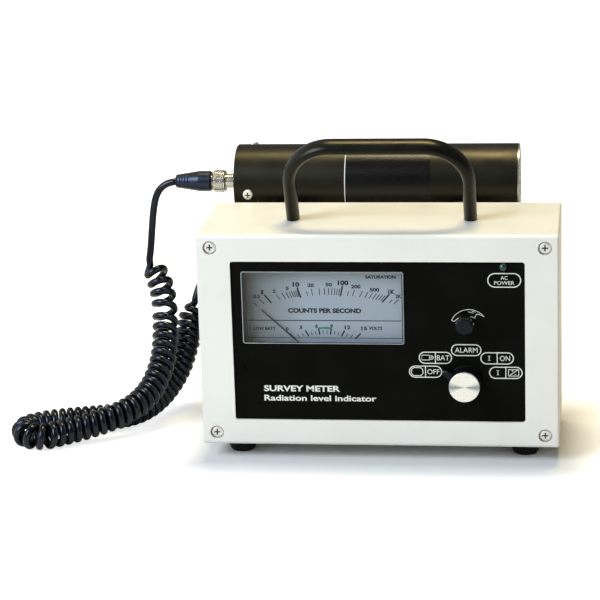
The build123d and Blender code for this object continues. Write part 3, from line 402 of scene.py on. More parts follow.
# Painted highlight for the bright edge of the meter's clear cover.
BEVEL_HIGHLIGHT = coloured_plastic("bevel_highlight", (0.26, 0.28, 0.29), (0.34, 0.36, 0.37), (0.18, 0.28))
CLEAR = clear_cover()
LABEL = pebbled_label()
LENS_GREEN = lamp_lens()
NEEDLE = moulded_black("needle_black", 0.012, (0.5, 0.6), 0.0)
METER_BOX = coloured_plastic("meter_box", (0.030, 0.031, 0.033), (0.042, 0.043, 0.045))
PHENOLIC = coloured_plastic("phenolic", (0.20, 0.085, 0.030), (0.27, 0.12, 0.045))
BOARD = coloured_plastic("circuit_board", (0.015, 0.12, 0.045), (0.022, 0.16, 0.06), (0.3, 0.42), 400)
CHIPS = moulded_black("chip_black", 0.018, (0.35, 0.5), 0.0)
LAMINATION = bright_metal("lamination", (0.33, 0.33, 0.34), (0.22, 0.22, 0.23), (0.35, 0.5), 0.5, (1, 14, 1))
CELL = coloured_plastic("cell_jacket", (0.11, 0.13, 0.16), (0.15, 0.17, 0.20), (0.25, 0.35))

LOOKS = {
    PAINT: ("front_frame", "rear_frame", "top_cover", "bottom_cover", "side_panels"),
    PANEL: ("front_panel", "rear_panel", "panel_plug"),
    ANODISED: ("probe_tube", "probe_end_cap", "probe_window_ring", "probe_cradles"),
    HANDLE: ("carry_handle",),
    RUBBER: ("rubber_feet", "cradle_pads", "detector_mounts"),
    KNOB: ("selector_knob", "alarm_knob"),
    BOOT: ("probe_plug_boot", "rear_plug_boot"),
    NICKEL: ("probe_plug_body", "rear_plug_body", "probe_plug_collar", "rear_plug_collar", "probe_socket",
             "rear_socket", "bush_nuts"),
    STEEL: ("frame_screws", "m4_screws", "probe_cap_screws"),
    TURNED: ("corner_posts", "board_standoffs", "selector_shaft", "alarm_shaft", "detector_tube"),
    RIM: ("probe_window_guard",),
    BRASS: ("meter_bridges", "meter_hairspring"),
    COPPER: ("meter_coil",),
    IRON: ("meter_magnet", "meter_core"),
    CAP: ("selector_cap",),
    CARD: ("dial_plate",),
    CLEAR: ("meter_window",),
    LABEL: ("probe_label",),
    LENS_GREEN: ("power_led",),
    NEEDLE: ("pointer",),
    METER_BOX: ("meter_housing", "alarm_pot", "battery_holder", "power_inlet"),
    PHENOLIC: ("selector_switch",),
    BOARD: ("circuit_board",),
    CHIPS: ("board_components", "alarm_speaker"),
    LAMINATION: ("mains_transformer",),
    CELL: ("battery_cells",),
}
for material, names in LOOKS.items():
    for name in names:
        data = nodes[name].data
        for index in range(len(data.materials)):
            data.materials[index] = material

# ---- Building pieces ----


def piece(name, mesh, material, body):
    """A new mesh object that rides on a body."""
    mesh.materials.append(material)
    made = bpy.data.objects.new(name, mesh)
    scene.collection.objects.link(made)
    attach(made, body)
    return made


def from_lists(name, points, faces):
    """A mesh from its points, in metres, and its faces."""
    mesh = bpy.data.meshes.new(name)
    mesh.from_pydata(points, [], faces)
    mesh.update()
    return mesh


def outward(name, points, faces):
    """A closed mesh from its points and faces, with every face turned outwards."""
    mesh = from_lists(name, points, faces)
    work = bmesh.new()
    work.from_mesh(mesh)
    bmesh.ops.recalc_face_normals(work, faces=work.faces)
    work.to_mesh(mesh)
    work.free()
    return mesh


# ---- Cord ----

CABLE = 4.95
CURL_RADIUS = 6.65
FRONT_TAIL = [
    (-147.5, 52, 156.3),
    (-152.4, 52, 155.6),
    (-156.9, 52, 153.2),
    (-160.2, 52, 149.6),
    (-162.7, 52, 144),
    (-164.6, 52, 134),
    (-165.9, 51.4, 122),
    (-167.0, 49.8, 109),
]
CURL_ROUTE = [
    (-168.6, 48.0, 99),
    (-162.6, 46.4, 91.5),
    (-158.2, 41.5, 81.5),
    (-155.6, 32, 66.5),
    (-154.2, 21, 54),
    (-154.2, 9.5, 41),
    (-159, -8, 27),
    (-168, -25, 20),
    (-182, -35, 15.5),
    (-199, -40.5, 11),
    (-213, -48, 9.4),
    (-225, -57.5, 9.2),
    (-237.5, -53, 9.2),
    (-240, -40, 9.2),
    (-231, -30.5, 9.2),
    (-217, -24, 9.2),
    (-199, -18.5, 9.2),
    (-181, -12.5, 9.2),
    (-168, 1, 9.5),
    (-157.5, 18, 14.5),
    (-148.5, 34.5, 27),
    (-143.5, 46, 44),
    (-141.8, 54, 59),
    (-139.5, 61.5, 72),
]
REAR_TAIL = [
    (-135.2, 67.9, 83.5),
    (-132, 74, 90),
    (-125.5, 79.5, 93.5),
    (-116, 83.5, 94),
    (-106, 85, 92.5),
    (-96.5, 84, 90.5),
    (-88.8, 80.5, 89),
    (-83, 74.5, 88.2),
    (-80, 66.6, 88),
    (-80, 59.6, 88),
]
# (distance along the curl, pitch) in mm: the turns are loose at the top and close together below.
PITCHES = [(0, 9.6), (9, 8.8), (12, 7.8), (28, 8.2), (31, 10.6), (39, 10.2), (43, 7.2), (60, 6.5), (95, 6.1),
           (130, 5.4), (165, 6.2), (190, 6.4), (215, 5.6), (250, 5.0), (330, 5.1), (372, 5.3), (390, 5.8)]
# (distance along the curl, tilt) in degrees: how far each turn's right side is lifted.
TILTS = [(0, 13), (9, 7), (24, 6), (32, 3), (38, 0), (400, 0)]
# The length in mm over which the curl opens out at its two ends.
TAPER = 6.0
END_TAPER = 15.0
# How many times longer a turn is where the curl begins and ends than within it.
OPENING = 5.0
# Where on its first turn the curl begins, round from its left side.
START_PHASE = math.radians(35)
STEPS_A_TURN = 22
# How far apart the drawn cord's rings are, in metres, and how many sides each has.
RING_STEP = 0.0016
SIDES = 12
# How far along, in metres, the cord moves wholly with the probe, and over how much more it stops following.
FOLLOWS_PROBE = 0.075
SHARE_FADE = 1.15


def between(table, at):
    """The table's value at a distance, joined by straight lines."""
    for (low, first), (high, second) in zip(table, table[1:]):
        if at <= high:
            return first + (second - first) * (max(at, low) - low) / (high - low)
    return table[-1][1]


def smooth(value):
    """Zero to one with a soft start and end."""
    value = min(1.0, max(0.0, value))
    return value * value * (3 - 2 * value)


def route_line(route):
    """Points close together along the route's smooth spline, in metres."""
    curve = bpy.data.curves.new("route", "CURVE")
    curve.dimensions = "3D"
    spline = curve.splines.new("NURBS")
    spline.points.add(len(route) - 1)
    for point, place in zip(spline.points, route):
        point.co = (*(value * MM for value in place), 1.0)
    spline.order_u = 3
    spline.use_endpoint_u = True
    spline.resolution_u = 40
    holder = bpy.data.objects.new("route", curve)
    mesh = bpy.data.meshes.new_from_object(holder)
    points = [vertex.co.copy() for vertex in mesh.vertices]
    bpy.data.objects.remove(holder)
    return [p for i, p in enumerate(points) if i == 0 or (p - points[i - 1]).length > 1e-7]


def lengths(points):
    """The distance along the line at each point."""
    total = [0.0]
    for before, after in zip(points, points[1:]):
        total.append(total[-1] + (after - before).length)
    return total


def nearest(points, target):
    """The index of the point that is nearest to a place in mm."""
    return min(range(len(points)), key=lambda i: (points[i] - Vector(target) * MM).length)


def carried(points, start):
    """A tangent and a side at each point; the side is carried along without twist."""
    tangents = []
    for i in range(len(points)):
        tangents.append((points[min(i + 1, len(points) - 1)] - points[max(i - 1, 0)]).normalized())
    side = (start - tangents[0] * start.dot(tangents[0])).normalized()
    sides = [side]
    for before, after in zip(tangents, tangents[1:]):
        side = before.rotation_difference(after) @ side
        side = (side - after * side.dot(after)).normalized()
        sides.append(side)
    return tangents, sides


def wound(line, first, last):
    """The cord's own line: straight tails, and a helix round the line between two of its points."""
    tangents, sides = carried(line, Vector((-1, 0, 0)))
    along = lengths(line)
    start, end = along[first], along[last]
    points = list(line[:first])
    at, phase, index = start, START_PHASE, first
    while at < end:
        while along[index + 1] < at:
            index += 1
        share = (at - along[index]) / (along[index + 1] - along[index])
        centre = line[index].lerp(line[index + 1], share)
        tangent = tangents[index].lerp(tangents[index + 1], share).normalized()
        side = sides[index].lerp(sides[index + 1], share)
        side = (side - tangent * side.dot(tangent)).normalized()
        other = tangent.cross(side)
        done = (at - start) / MM
        left = (end - at) / MM
        grown = min(smooth(done / TAPER), smooth(left / END_TAPER))
        radius = CURL_RADIUS * MM * grown
        out = side * math.cos(phase) + other * math.sin(phase)
        tilt = math.tan(math.radians(between(TILTS, done))) * radius * math.cos(phase)
        points.append(centre + out * radius + tangent * tilt)
        slow = 1 + OPENING * (1 - grown) ** 2
        at += between(PITCHES, done) * MM / STEPS_A_TURN
        phase -= 2 * math.pi / STEPS_A_TURN / slow
    points += line[last:]
    return points


def even(points, step):
    """The same line with its points spread evenly."""
    along = lengths(points)
    count = max(2, round(along[-1] / step))
    made, index = [], 0
    for i in range(count + 1):
        at = along[-1] * i / count
        while index < len(points) - 2 and along[index + 1] < at:
            index += 1
        share = (at - along[index]) / max(1e-9, along[index + 1] - along[index])
        made.append(points[index].lerp(points[index + 1], min(1.0, share)))
    return made


def tube(name, points, radius, sides):
    """A closed round tube along the points."""
    tangents, across = carried(points, Vector((0, 1, 0)))
    vertices, faces = [], []
    for point, tangent, side in zip(points, tangents, across):
        other = tangent.cross(side)
        for k in range(sides):
            angle = 2 * math.pi * k / sides
            vertices.append(point + (side * math.cos(angle) + other * math.sin(angle)) * radius)
    rings = len(points)
    for i in range(rings - 1):
        for k in range(sides):
            a, b = i * sides + k, i * sides + (k + 1) % sides
            faces.append((a, b, b + sides, a + sides))
    faces.append(tuple(range(sides - 1, -1, -1)))
    faces.append(tuple((rings - 1) * sides + k for k in range(sides)))
    return from_lists(name, vertices, faces)


def make_cord():
    """The whole cord from the probe's plug to the plug at the back of the case."""
    line = route_line(FRONT_TAIL + CURL_ROUTE + REAR_TAIL)
    first = nearest(line, CURL_ROUTE[0])
    last = nearest(line, CURL_ROUTE[-1])
    path = even(wound(line, first, last), RING_STEP)
    mesh = tube("cord", path, CABLE / 2 * MM, SIDES)
    mesh.materials.append(JACKET)
    mesh.polygons.foreach_set("use_smooth", [True] * len(mesh.polygons))
    cord = bpy.data.objects.new("cord", mesh)
    scene.collection.objects.link(cord)
    # The lifted probe draws the upper curl out, so the share that follows it falls off along the cord.
    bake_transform(cord, "case", "probe", start=(-0.15, 0, 0.0), end=(-0.15, 0, 0.15))
    shares = []
    for at in lengths(path):
        shares += [1 - smooth((at - FOLLOWS_PROBE) / SHARE_FADE)] * SIDES
    mesh.attributes["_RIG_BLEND"].data.foreach_set("value", shares)
    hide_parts("front_cord_tail", "curly_cord", "rear_cord_tail")


make_cord()

# ---- Painted shade in the screws' recesses ----

# The sizes of the frames' and the cap's screws, and the depth of the crosses, in mm.
FRAME_RECESS = 3.7
CAP_RECESS = 3.4
RECESS_DEPTH = 0.5
# Half the length and half the width of a cross's arms, as shares of the screw's size.
CROSS_REACH = 0.54
CROSS_ARM = 0.125
# The y of the recess floors in the frames' screws, front and rear.
FRONT_RECESS_Y = FRONT + 1.3
REAR_RECESS_Y = REAR - 1.3
CAP_RECESS_RADIUS = PROBE_RADIUS + 1.0


def crosses(name, places, size, body):
    """Painted shade: dark crosses in the recesses of screws; each place is a point on the floor, in mm, and
    the way out.
    """
    half, arm = CROSS_REACH * size, CROSS_ARM * size
    quarter = [(arm, arm), (arm, half), (-arm, half)]
    outline = []
    for _ in range(4):
        outline += quarter
        quarter = [(-v, u) for u, v in quarter]
    count = len(outline)
    arms = [(0, 1, 2, 3), (3, 4, 5, 6), (6, 7, 8, 9), (9, 10, 11, 0), (0, 3, 6, 9)]
    vertices, faces = [], []
    for centre, out in places:
        side = Vector((1, 0, 0))
        rise = Vector(out).cross(side)
        offset = len(vertices)
        for depth in (0.0, RECESS_DEPTH):
            for u, v in outline:
                vertices.append((Vector(centre) + side * u + rise * v + Vector(out) * depth) * MM)
        for face in arms:
            faces.append(tuple(offset + count + i for i in face))
            faces.append(tuple(offset + i for i in reversed(face)))
        for i in range(count):
            j = (i + 1) % count
            faces.append((offset + j, offset + i, offset + count + i, offset + count + j))
    piece(name, outward(name, vertices, faces), PAINTED_RECESS_SHADE, body)


def screw_recesses():
    """Painted shade in the recesses of the frames' eight screws and of the probe cap's three."""
    frame_places = []
    for x in FRAME_SCREW_XS:
        for z in FRAME_SCREW_ZS:
            frame_places.append(((x, FRONT_RECESS_Y, z), (0, -1, 0)))
            frame_places.append(((x, REAR_RECESS_Y, z), (0, 1, 0)))
    crosses("frame_screw_recess_shade", frame_places, FRAME_RECESS, "case")
    cap_places = []
    for angle in CAP_SCREW_ANGLES:
        out = Vector((0, -math.cos(math.radians(angle)), math.sin(math.radians(angle))))
        cap_places.append((Vector((CAP_SCREW_X, PROBE_Y, PROBE_Z)) + out * CAP_RECESS_RADIUS, out))
    crosses("cap_screw_recess_shade", cap_places, CAP_RECESS, "probe")


screw_recesses()

# ---- Plug collars ----

RIBS = 30
RIB_ROOT = 7.2
RIB_TIP = 7.62
# How far from the wall the ribs begin and end, and the same for their full height.
RIB_START, RIB_END = 6.9, 13.4
RIB_RISE, RIB_FALL = 7.4, 12.9


def knurl(name, face, out, body):
    """The ribs round a bayonet collar; face is the wall it stands on, in mm, and out the way it points."""
    out = Vector(out)
    side = Vector((0, 0, 1))
    across = out.cross(side)
    bore = RIB_ROOT - 0.2
    rings = [(RIB_START, RIB_ROOT), (RIB_RISE, RIB_TIP), (RIB_FALL, RIB_TIP), (RIB_END, RIB_ROOT)]
    rings += [(RIB_END, bore), (RIB_START, bore)]
    count = RIBS * 4
    vertices, faces = [], []
    for along, radius in rings:
        for k in range(count):
            angle = 2 * math.pi * k / count
            reach = radius if k % 4 in (0, 1) else min(radius, RIB_ROOT)
            place = Vector(face) + out * along + (side * math.cos(angle) + across * math.sin(angle)) * reach
            vertices.append(place * MM)
    for i in range(len(rings)):
        n = (i + 1) % len(rings)
        for k in range(count):
            j = (k + 1) % count
            faces.append((i * count + k, i * count + j, n * count + j, n * count + k))
    piece(name, outward(name, vertices, faces), NICKEL, body)


knurl("probe_collar_ribs", PROBE_PLUG_FACE, (-1, 0, 0), "probe_collar")
knurl("rear_collar_ribs", REAR_PLUG_FACE, (0, 1, 0), "rear_collar")

# ---- Painted highlight on the label's edge ----

EDGE_WIDTH = 0.55
EDGE_INNER = PROBE_RADIUS + 0.2
EDGE_OUTER = PROBE_RADIUS + 0.34
EDGE_REACH = 170


def label_edge():
    """A painted highlight along the label's left cut edge, a thin pale band that stops short of meeting
    itself at the back.
    """
    steps = 48
    start, end = LABEL_LEFT, LABEL_LEFT + EDGE_WIDTH
    corners = [(start, EDGE_INNER), (start, EDGE_OUTER), (end, EDGE_OUTER), (end, EDGE_INNER)]
    vertices, faces = [], []
    for k in range(steps + 1):
        angle = math.radians(-EDGE_REACH + 2 * EDGE_REACH * k / steps)
        way = Vector((0, -math.cos(angle), math.sin(angle)))
        for x, radius in corners:
            vertices.append((Vector((x, PROBE_Y, PROBE_Z)) + way * radius) * MM)
    for k in range(steps):
        for i in range(4):
            j = (i + 1) % 4
            faces.append((k * 4 + i, k * 4 + j, k * 4 + 4 + j, k * 4 + 4 + i))
    faces.append((3, 2, 1, 0))
    faces.append(tuple(steps * 4 + i for i in range(4)))
    piece("label_edge_highlight", outward("label_edge_highlight", vertices, faces), WHITE_INK, "probe")


label_edge()

# ---- Flat print ----


def ribbon(points, width, closed=False):
    """A flat stroke along (x, z) points, in mm, as quads with mitred corners."""
    count = len(points)
    left, right = [], []
    for i, (x, z) in enumerate(points):
        before = points[i - 1] if i or closed else None
        after = points[(i + 1) % count] if i + 1 < count or closed else None
        ways = []
        if before is not None:
            ways.append(Vector((x - before[0], z - before[1])).normalized())
        if after is not None:
            ways.append(Vector((after[0] - x, after[1] - z)).normalized())
        way = (ways[0] + ways[-1]).normalized() if (ways[0] + ways[-1]).length > 1e-6 else ways[0]
        normal = Vector((-way.y, way.x))
        stretch = 1 / max(0.35, normal.dot(Vector((-ways[0].y, ways[0].x))))
        offset = normal * width / 2 * stretch
        left.append((x + offset.x, z + offset.y))
        right.append((x - offset.x, z - offset.y))
    vertices = left + right
    faces = []
    for i in range(count if closed else count - 1):
        j = (i + 1) % count
        faces.append((i, j, count + j, count + i))
    return vertices, faces


def arc(centre, radius, start, end, steps):
    """(x, z) points along an arc; angles in degrees, anticlockwise from +x."""
    points = []
    for k in range(steps + 1):
        angle = math.radians(start + (end - start) * k / steps)
        points.append((centre[0] + radius * math.cos(angle), centre[1] + radius * math.sin(angle)))
    return points


def rounded_box(centre, width, height, radius):
    """(x, z) points round a box with rounded corners."""
    x, z = centre
    dx, dz = width / 2 - radius, height / 2 - radius
    points = []
    corners = [(x + dx, z + dz), (x - dx, z + dz), (x - dx, z - dz), (x + dx, z - dz)]
    for index, corner in enumerate(corners):
        points += arc(corner, radius, 90 * index, 90 * index + 90, 8)
    return points


def lettering(words, centre, height, width, weight=0.0):
    """Words as flat faces, fitted to a box of that height and width in mm; weight thickens their strokes."""
    curve = bpy.data.curves.new("words", "FONT")
    curve.body = words
    curve.offset = weight
    curve.resolution_u = 4
    holder = bpy.data.objects.new("words", curve)
    mesh = bpy.data.meshes.new_from_object(holder)
    bpy.data.objects.remove(holder)
    xs = [v.co.x for v in mesh.vertices]
    ys = [v.co.y for v in mesh.vertices]
    low, high = min(ys), max(ys)
    wide = width / (max(xs) - min(xs))
    tall = height / (high - low)
    mid_x, mid_y = (max(xs) + min(xs)) / 2, (low + high) / 2
    vertices = []
    for v in mesh.vertices:
        vertices.append((centre[0] + (v.co.x - mid_x) * wide, centre[1] + (v.co.y - mid_y) * tall))
    faces = [tuple(reversed(p.vertices)) for p in mesh.polygons]
    return vertices, faces


def print_piece(name, shapes, depth, thickness, material):
    """Flat shapes joined into one thin printed piece whose back is at y = depth, in mm."""
    vertices, faces = [], []
    for shape_vertices, shape_faces in shapes:
        offset = len(vertices)
        vertices += [(x * MM, depth * MM, z * MM) for x, z in shape_vertices]
        faces += [tuple(offset + i for i in face) for face in shape_faces]
    mesh = from_lists(name, vertices, faces)
    work = bmesh.new()
    work.from_mesh(mesh)
    bmesh.ops.remove_doubles(work, verts=work.verts, dist=1e-7)
    for face in work.faces:
        if face.normal.y > 0:
            face.normal_flip()
    made = bmesh.ops.extrude_face_region(work, geom=list(work.faces))
    moved = [item for item in made["geom"] if isinstance(item, bmesh.types.BMVert)]
    bmesh.ops.translate(work, verts=moved, vec=(0, -thickness * MM, 0))
    bmesh.ops.recalc_face_normals(work, faces=work.faces)
    work.to_mesh(mesh)
    work.free()
    piece(name, mesh, material, "case")


# The print's line widths, the size of its outlines and words, and how far its back is sunk, in mm.
LINE = 0.62
FINE_LINE = 0.42
PILL_WIDTH, PILL_HEIGHT = 21.1, 8.0
WORD_HEIGHT = 3.3
PRINT_SINK = 0.01


def up(x, z):
    """A place on the front, with z measured from the case's bottom."""
    return (x, z + BOTTOM)


def serif_i(x, z):
    """A capital I with short serifs."""
    half_height, half_serif, serif = 1.4, 0.75, 0.30
    strokes = [ribbon([up(x, z - half_height), up(x, z + half_height)], FINE_LINE)]
    for end in (z + half_height, z - half_height):
        strokes.append(ribbon([up(x - half_serif, end), up(x + half_serif, end)], serif))
    return strokes


def pill(x, z, width=PILL_WIDTH, height=PILL_HEIGHT, divided=True):
    """A long rounded outline, with a line across its middle if it is divided."""
    outline = rounded_box(up(x, z), width - LINE, height - LINE, (height - LINE) / 2 - 0.01)
    shapes = [ribbon(outline, LINE, True)]
    if divided:
        half = height / 2 - LINE
        shapes.append(ribbon([up(x, z - half), up(x, z + half)], LINE * 0.9))
    return shapes


def selector_art():
    """The five settings round the selector, each in its outline."""
    shapes = pill(29.9, 50.1)
    shapes.append(lettering("OFF", up(34.9, 50.1), WORD_HEIGHT, 7.7))
    shapes.append(ribbon(rounded_box(up(24.6, 50.1), 7.4, 5.4, 2.3), 0.5, True))
    shapes += pill(36.3, 59.4)
    shapes.append(lettering("BAT", up(41.2, 59.4), WORD_HEIGHT, 7.9))
    shapes.append(ribbon(rounded_box(up(30.2, 59.5), 5.0, 3.2, 0.7), FINE_LINE, True))
    shapes.append(ribbon(arc(up(33.7, 59.5), 1.25, 0, 345, 16), FINE_LINE, True))
    shapes.append(ribbon([up(33.1, 59.5), up(34.3, 59.5)], 0.35))
    shapes.append(ribbon([up(33.7, 58.9), up(33.7, 60.1)], 0.35))
    shapes.append(ribbon([up(27.6, 58.3), up(27.6, 60.7)], 0.5))
    shapes += pill(55.85, 64.6, 19.2, 7.8, False)
    shapes.append(lettering("ALARM", up(55.85, 64.6), 3.2, 14.3))
    shapes += pill(75.3, 59.3)
    shapes += serif_i(70.3, 59.3)
    shapes.append(lettering("ON", up(80.2, 59.3), WORD_HEIGHT, 6.4))
    shapes += pill(80.7, 49.8)
    shapes += serif_i(75.7, 49.8)
    shapes.append(ribbon(rounded_box(up(85.6, 49.8), 6.4, 4.2, 0.25), FINE_LINE, True))
    shapes.append(ribbon([up(83.2, 48.2), up(88.0, 51.6)], FINE_LINE))
    plus = [((84.5, 51.0), (85.4, 51.0)), ((84.95, 50.5), (84.95, 51.5))]
    minus = [((86.2, 48.7), (87.2, 48.7))]
    for start, end in plus + minus:
        shapes.append(ribbon([up(*start), up(*end)], 0.4))
    return shapes


def level_art():
    """The curved arrow over the alarm level knob."""
    outer = arc(up(57.8, 79.4), 11.9, 157, 38, 22)
    tip = up(67.4, 86.5)
    hook = [up(64.6, 88.0), up(62.6, 88.3), up(61.4, 85.9)]
    inner = arc(up(56.4, 76.6), 10.4, 62, 138, 14)
    shapes = [ribbon(outer + [tip] + hook + inner, 0.34, True)]
    for start, end in (((57.2, 89.9), (60.6, 89.0)), ((59.8, 90.2), (62.0, 89.6))):
        shapes.append(ribbon([up(*start), up(*end)], 0.26))
    return shapes


def panel_art():
    """All the white print on the front panel, as one piece."""
    shapes = selector_art()
    shapes += pill(80.1, 110.4, PILL_WIDTH, 9.4, False)
    shapes.append(lettering("AC", up(80.1, 112.0), 2.4, 4.4))
    shapes.append(lettering("POWER", up(80.1, 108.7), 2.4, 12.6))
    shapes += level_art()
    shapes.append(lettering("SURVEY METER", up(-49.5, 38.1), 4.1, 49.0, 0.03))
    shapes.append(lettering("Radiation level indicator", up(-37.85, 31.7), 3.9, 72.3, 0.022))
    print_piece("panel_print", shapes, PANEL_FACE + PRINT_SINK, 0.05, WHITE_INK)


panel_art()

# The needle's pivot, and the centre and radius of the upper scale's arc, in mm up from the case's bottom.
PIVOT = (-34.3, 51.2)
ARC_CENTRE = (-31.3, -48.7)
ARC_RADIUS = 147.0
# The needle's angle at some count rates, in degrees left of upright.
COUNT_MARKS = [(0.36, 47.5), (0.5, 43.4), (1, 39.3), (10, 18.4), (100, -12.5), (1000, -41.0), (2000, -47.0)]
DECADES = (1, 10, 100, 1000)
# The lengths and widths of the upper scale's lines, and how far out its numbers are, in mm.
HALF_TICK, TICK, DECADE_TICK = 3.0, 4.4, 7.2
TICK_WIDTH, DECADE_WIDTH = 0.52, 1.0
NUMBER_GAP, DECADE_GAP = 6.8, 8.4
# How much the strokes of the dial's words are thickened.
PLAIN, BOLD = 0.045, 0.055
# The needle's angle at no volts, and how far it turns for each one.
NO_VOLTS = 47.3
A_VOLT = 6.25


def on_dial(angle, radius):
    """A place at an angle left of upright and a distance from the needle's pivot."""
    turn = math.radians(angle)
    return (PIVOT[0] - radius * math.sin(turn), PIVOT[1] + radius * math.cos(turn))


def inner_radius(angle):
    """How far from the pivot the upper scale's arc is, at an angle."""
    way = Vector((-math.sin(math.radians(angle)), math.cos(math.radians(angle))))
    offset = Vector(PIVOT) - Vector(ARC_CENTRE)
    half = offset.dot(way)
    return -half + math.sqrt(half * half - offset.length_squared + ARC_RADIUS * ARC_RADIUS)


def tick(angle, inner, outer, width):
    """A scale's line at an angle, between two distances from the pivot."""
    return ribbon([up(*on_dial(angle, inner)), up(*on_dial(angle, outer))], width)


def count_angle(value):
    """The needle's angle for a count rate."""
    for (low, first), (high, second) in zip(COUNT_MARKS, COUNT_MARKS[1:]):
        if value <= high:
            share = math.log(value / low) / math.log(high / low)
            return first + (second - first) * share
    return COUNT_MARKS[-1][1]


def count_scale():
    """The upper scale: lines, longer ones at the decades, and numbers."""
    shapes = []
    half_lines = (0.36, 15, 150, 1500)
    values = [0.36, 0.5, *range(2, 10), 15, *range(20, 100, 10), 150, *range(200, 1000, 100), 1500, 2000]
    for value in values:
        angle = count_angle(value)
        inner = inner_radius(angle)
        shapes.append(tick(angle, inner, inner + (HALF_TICK if value in half_lines else TICK), TICK_WIDTH))
    for value in DECADES:
        angle = count_angle(value)
        inner = inner_radius(angle) - 0.8
        shapes.append(tick(angle, inner, inner + DECADE_TICK, DECADE_WIDTH))
    numbers = [(0.5, "0.5", 2.4, 4.5), (1, "1", 2.9, 1.7), (2, "2", 2.3, 2.0), (5, "5", 2.3, 2.0),
               (10, "10", 3.1, 4.5), (20, "20", 2.5, 4.1), (50, "50", 2.5, 4.1), (100, "100", 3.2, 6.9),
               (200, "200", 2.5, 6.1), (500, "500", 2.5, 6.1), (1000, "1K", 3.0, 4.2)]
    for value, words, height, width in numbers:
        decade = value in DECADES
        angle = count_angle(value)
        x, z = on_dial(angle, inner_radius(angle) + (DECADE_GAP if decade else NUMBER_GAP))
        shapes.append(lettering(words, up(x, z), height, width, BOLD if decade else PLAIN))
    shapes.append(lettering("2K", up(13.0, 97.6), 2.5, 3.9, PLAIN))
    return shapes


def volt_scale():
    """The lower scale: a line for each volt, longer ones and numbers at each third."""
    shapes = []
    for volts in range(16):
        angle = NO_VOLTS - A_VOLT * volts
        bend = abs(angle) / NO_VOLTS
        inner = 21.0 + 5.6 * bend ** 3
        if volts % 3 == 0:
            shapes.append(tick(angle, inner, inner + 4.0 + bend, 0.95))
        else:
            shapes.append(tick(angle, inner + 0.4, inner + 2.7, TICK_WIDTH))
    numbers = [(0, -58.8, 75.5), (3, -50.0, 76.6), (6, -39.8, 77.6), (9, -30.2, 77.6), (12, -20.0, 76.9),
               (15, -9.3, 76.2)]
    for volts, x, z in numbers:
        shapes.append(lettering(str(volts), up(x, z), 2.6, 1.8 if volts < 10 else 3.8, PLAIN))
    return shapes


def dial_art():
    """The dial's black print, and the green band that marks a good battery."""
    shapes = count_scale()
    shapes.append(lettering("COUNTS PER SECOND", up(-34.4, 87.9), 3.2, 47.0, BOLD))
    shapes.append(lettering("SATURATION", up(1.8, 110.2), 2.2, 19.4, BOLD))
    shapes.append(lettering("LOW BATT", up(-73.3, 75.9), 2.2, 14.2, 0.05))
    shapes.append(lettering("VOLTS", up(-2.1, 76.4), 2.2, 8.7, 0.05))
    shapes.append(ribbon([up(-85.2, 81.3), up(14.4, 81.3)], 0.6))
    shapes += volt_scale()
    shapes.append(ribbon(rounded_box(up(-34.8, 91.75), 99.8, 44.0, 0.3), FINE_LINE, True))
    print_piece("dial_print", shapes, DIAL_FACE + PRINT_SINK, 0.04, BLACK_INK)
    good = [on_dial(NO_VOLTS - A_VOLT * (6 + 3 * k / 8), 25.2) for k in range(9)]
    green = [ribbon([up(*point) for point in good], 1.5)]
    print_piece("dial_green_band", green, DIAL_FACE + PRINT_SINK, 0.025, GREEN_INK)


dial_art()


def window_bevel():
    """A painted highlight: a bright ring round the meter's clear cover, where its bevel catches the light.
    """
    outline = rounded_box(up(-34.75, 92.0), 102.6, 47.0, 1.2)
    shapes = [ribbon(outline, 0.55, True)]
    print_piece("window_bevel", shapes, COVER_FACE + PRINT_SINK, 0.06, BEVEL_HIGHLIGHT)


window_bevel()

# ---- Floor and light ----

# The case's footprint in metres: the y of its middle, and half its width and depth.
FOOTPRINT_Y = -0.024
FOOTPRINT_HALVES = (0.114, 0.050, 0)
# How strongly the floor glows beyond a short distance from the case, so that it meets the backdrop.
FLOOR_GLOW = 0.75
GLOW_DISTANCE = 0.05
FLOOR_HALF = 8.0


def make_stage():
    """A pale floor that shades off to white away from the case."""
    s = Shader("floor", Roughness=0.8, Specular_IOR_Level=0.05, Emission_Color=(1, 1, 1, 1))
    s.tinted((0.74, 0.74, 0.74), (0.76, 0.76, 0.755), 6)
    apart = s.place
    steps = [("SUBTRACT", (0, FOOTPRINT_Y, 0)), ("ABSOLUTE", (0, 0, 0)), ("SUBTRACT", FOOTPRINT_HALVES),
             ("MAXIMUM", (0, 0, 0))]
    for operation, other in steps:
        apart = s.add("ShaderNodeVectorMath", {"operation": operation}, i0=apart, i1=other).outputs[0]
    away = s.add("ShaderNodeVectorMath", {"operation": "LENGTH"}, i0=apart).outputs["Value"]
    glow = s.spread(away, 0.0, FLOOR_GLOW, (0.0, GLOW_DISTANCE))
    seen = s.add("ShaderNodeLightPath").outputs["Is Camera Ray"]
    s.drive("Emission Strength", s.maths("MULTIPLY", glow, seen))
    corners = [(x * FLOOR_HALF, y * FLOOR_HALF, 0) for x, y in ((-1, -1), (1, -1), (1, 1), (-1, 1))]
    mesh = from_lists("floor", corners, [(0, 1, 2, 3)])
    mesh.materials.append(s.material)
    floor = bpy.data.objects.new("floor", mesh)
    scene.collection.objects.link(floor)


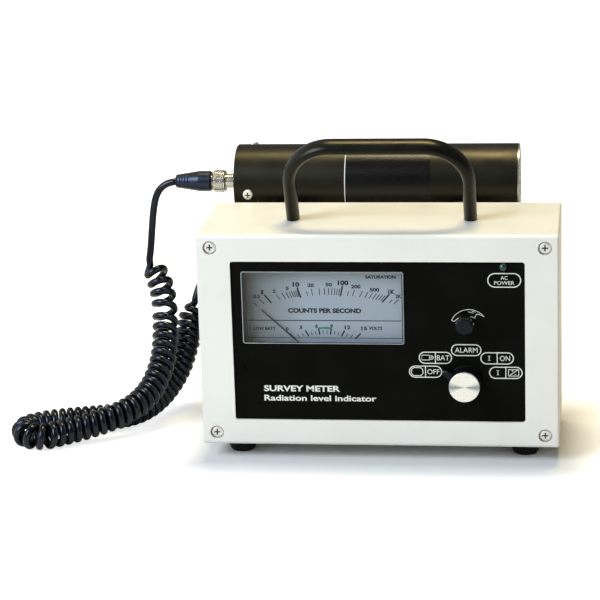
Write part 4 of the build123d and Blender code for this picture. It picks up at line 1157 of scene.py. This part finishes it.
def area_light(name, place, aim, size, power, colour):
    """A rectangular lamp at a place, turned to face another."""
    data = bpy.data.lights.new(name, "AREA")
    data.shape = "RECTANGLE"
    data.size, data.size_y = size
    data.energy = power
    data.color = colour
    light = bpy.data.objects.new(name, data)
    light.location = place
    way = Vector(aim) - Vector(place)
    light.rotation_euler = way.to_track_quat("-Z", "Y").to_euler()
    scene.collection.objects.link(light)


# The room's strength at its left end, and from just left of its middle to its right end.
ROOM_FADE = {"From Min": -1, "From Max": -0.1, "To Min": 1.10, "To Max": 0.17}
CASE_MIDDLE = (0, 0, 0.08)
CASE_TOP = (0.03, 0.05, 0.1)


def make_light():
    """A cool window on the left and a warm lamp overhead, in a room that is brighter on its left."""
    world = bpy.data.worlds.new("studio")
    world.use_nodes = True
    tree = world.node_tree
    room = tree.nodes["Background"]
    room.inputs["Color"].default_value = (0.95, 0.97, 1.0, 1)
    place = tree.nodes.new("ShaderNodeTexCoord")
    parts = tree.nodes.new("ShaderNodeSeparateXYZ")
    tree.links.new(place.outputs["Generated"], parts.inputs[0])
    fade = tree.nodes.new("ShaderNodeMapRange")
    for socket, value in ROOM_FADE.items():
        fade.inputs[socket].default_value = value
    tree.links.new(parts.outputs["X"], fade.inputs["Value"])
    tree.links.new(fade.outputs[0], room.inputs["Strength"])
    backdrop = tree.nodes.new("ShaderNodeBackground")
    backdrop.inputs["Color"].default_value = (1, 1, 1, 1)
    path = tree.nodes.new("ShaderNodeLightPath")
    mix = tree.nodes.new("ShaderNodeMixShader")
    tree.links.new(path.outputs["Is Camera Ray"], mix.inputs[0])
    tree.links.new(room.outputs[0], mix.inputs[1])
    tree.links.new(backdrop.outputs[0], mix.inputs[2])
    tree.links.new(mix.outputs[0], tree.nodes["World Output"].inputs[0])
    scene.world = world
    area_light("window_left", (-1.13, -1.10, 1.15), CASE_MIDDLE, (0.9, 1.0), 31, (0.79, 0.90, 1.0))
    area_light("ceiling_lamp", (0.06, 0.28, 1.5), CASE_TOP, (0.60, 0.30), 17, (1.0, 0.84, 0.46))


make_stage()
make_light()
scene.view_settings.view_transform = "Standard"
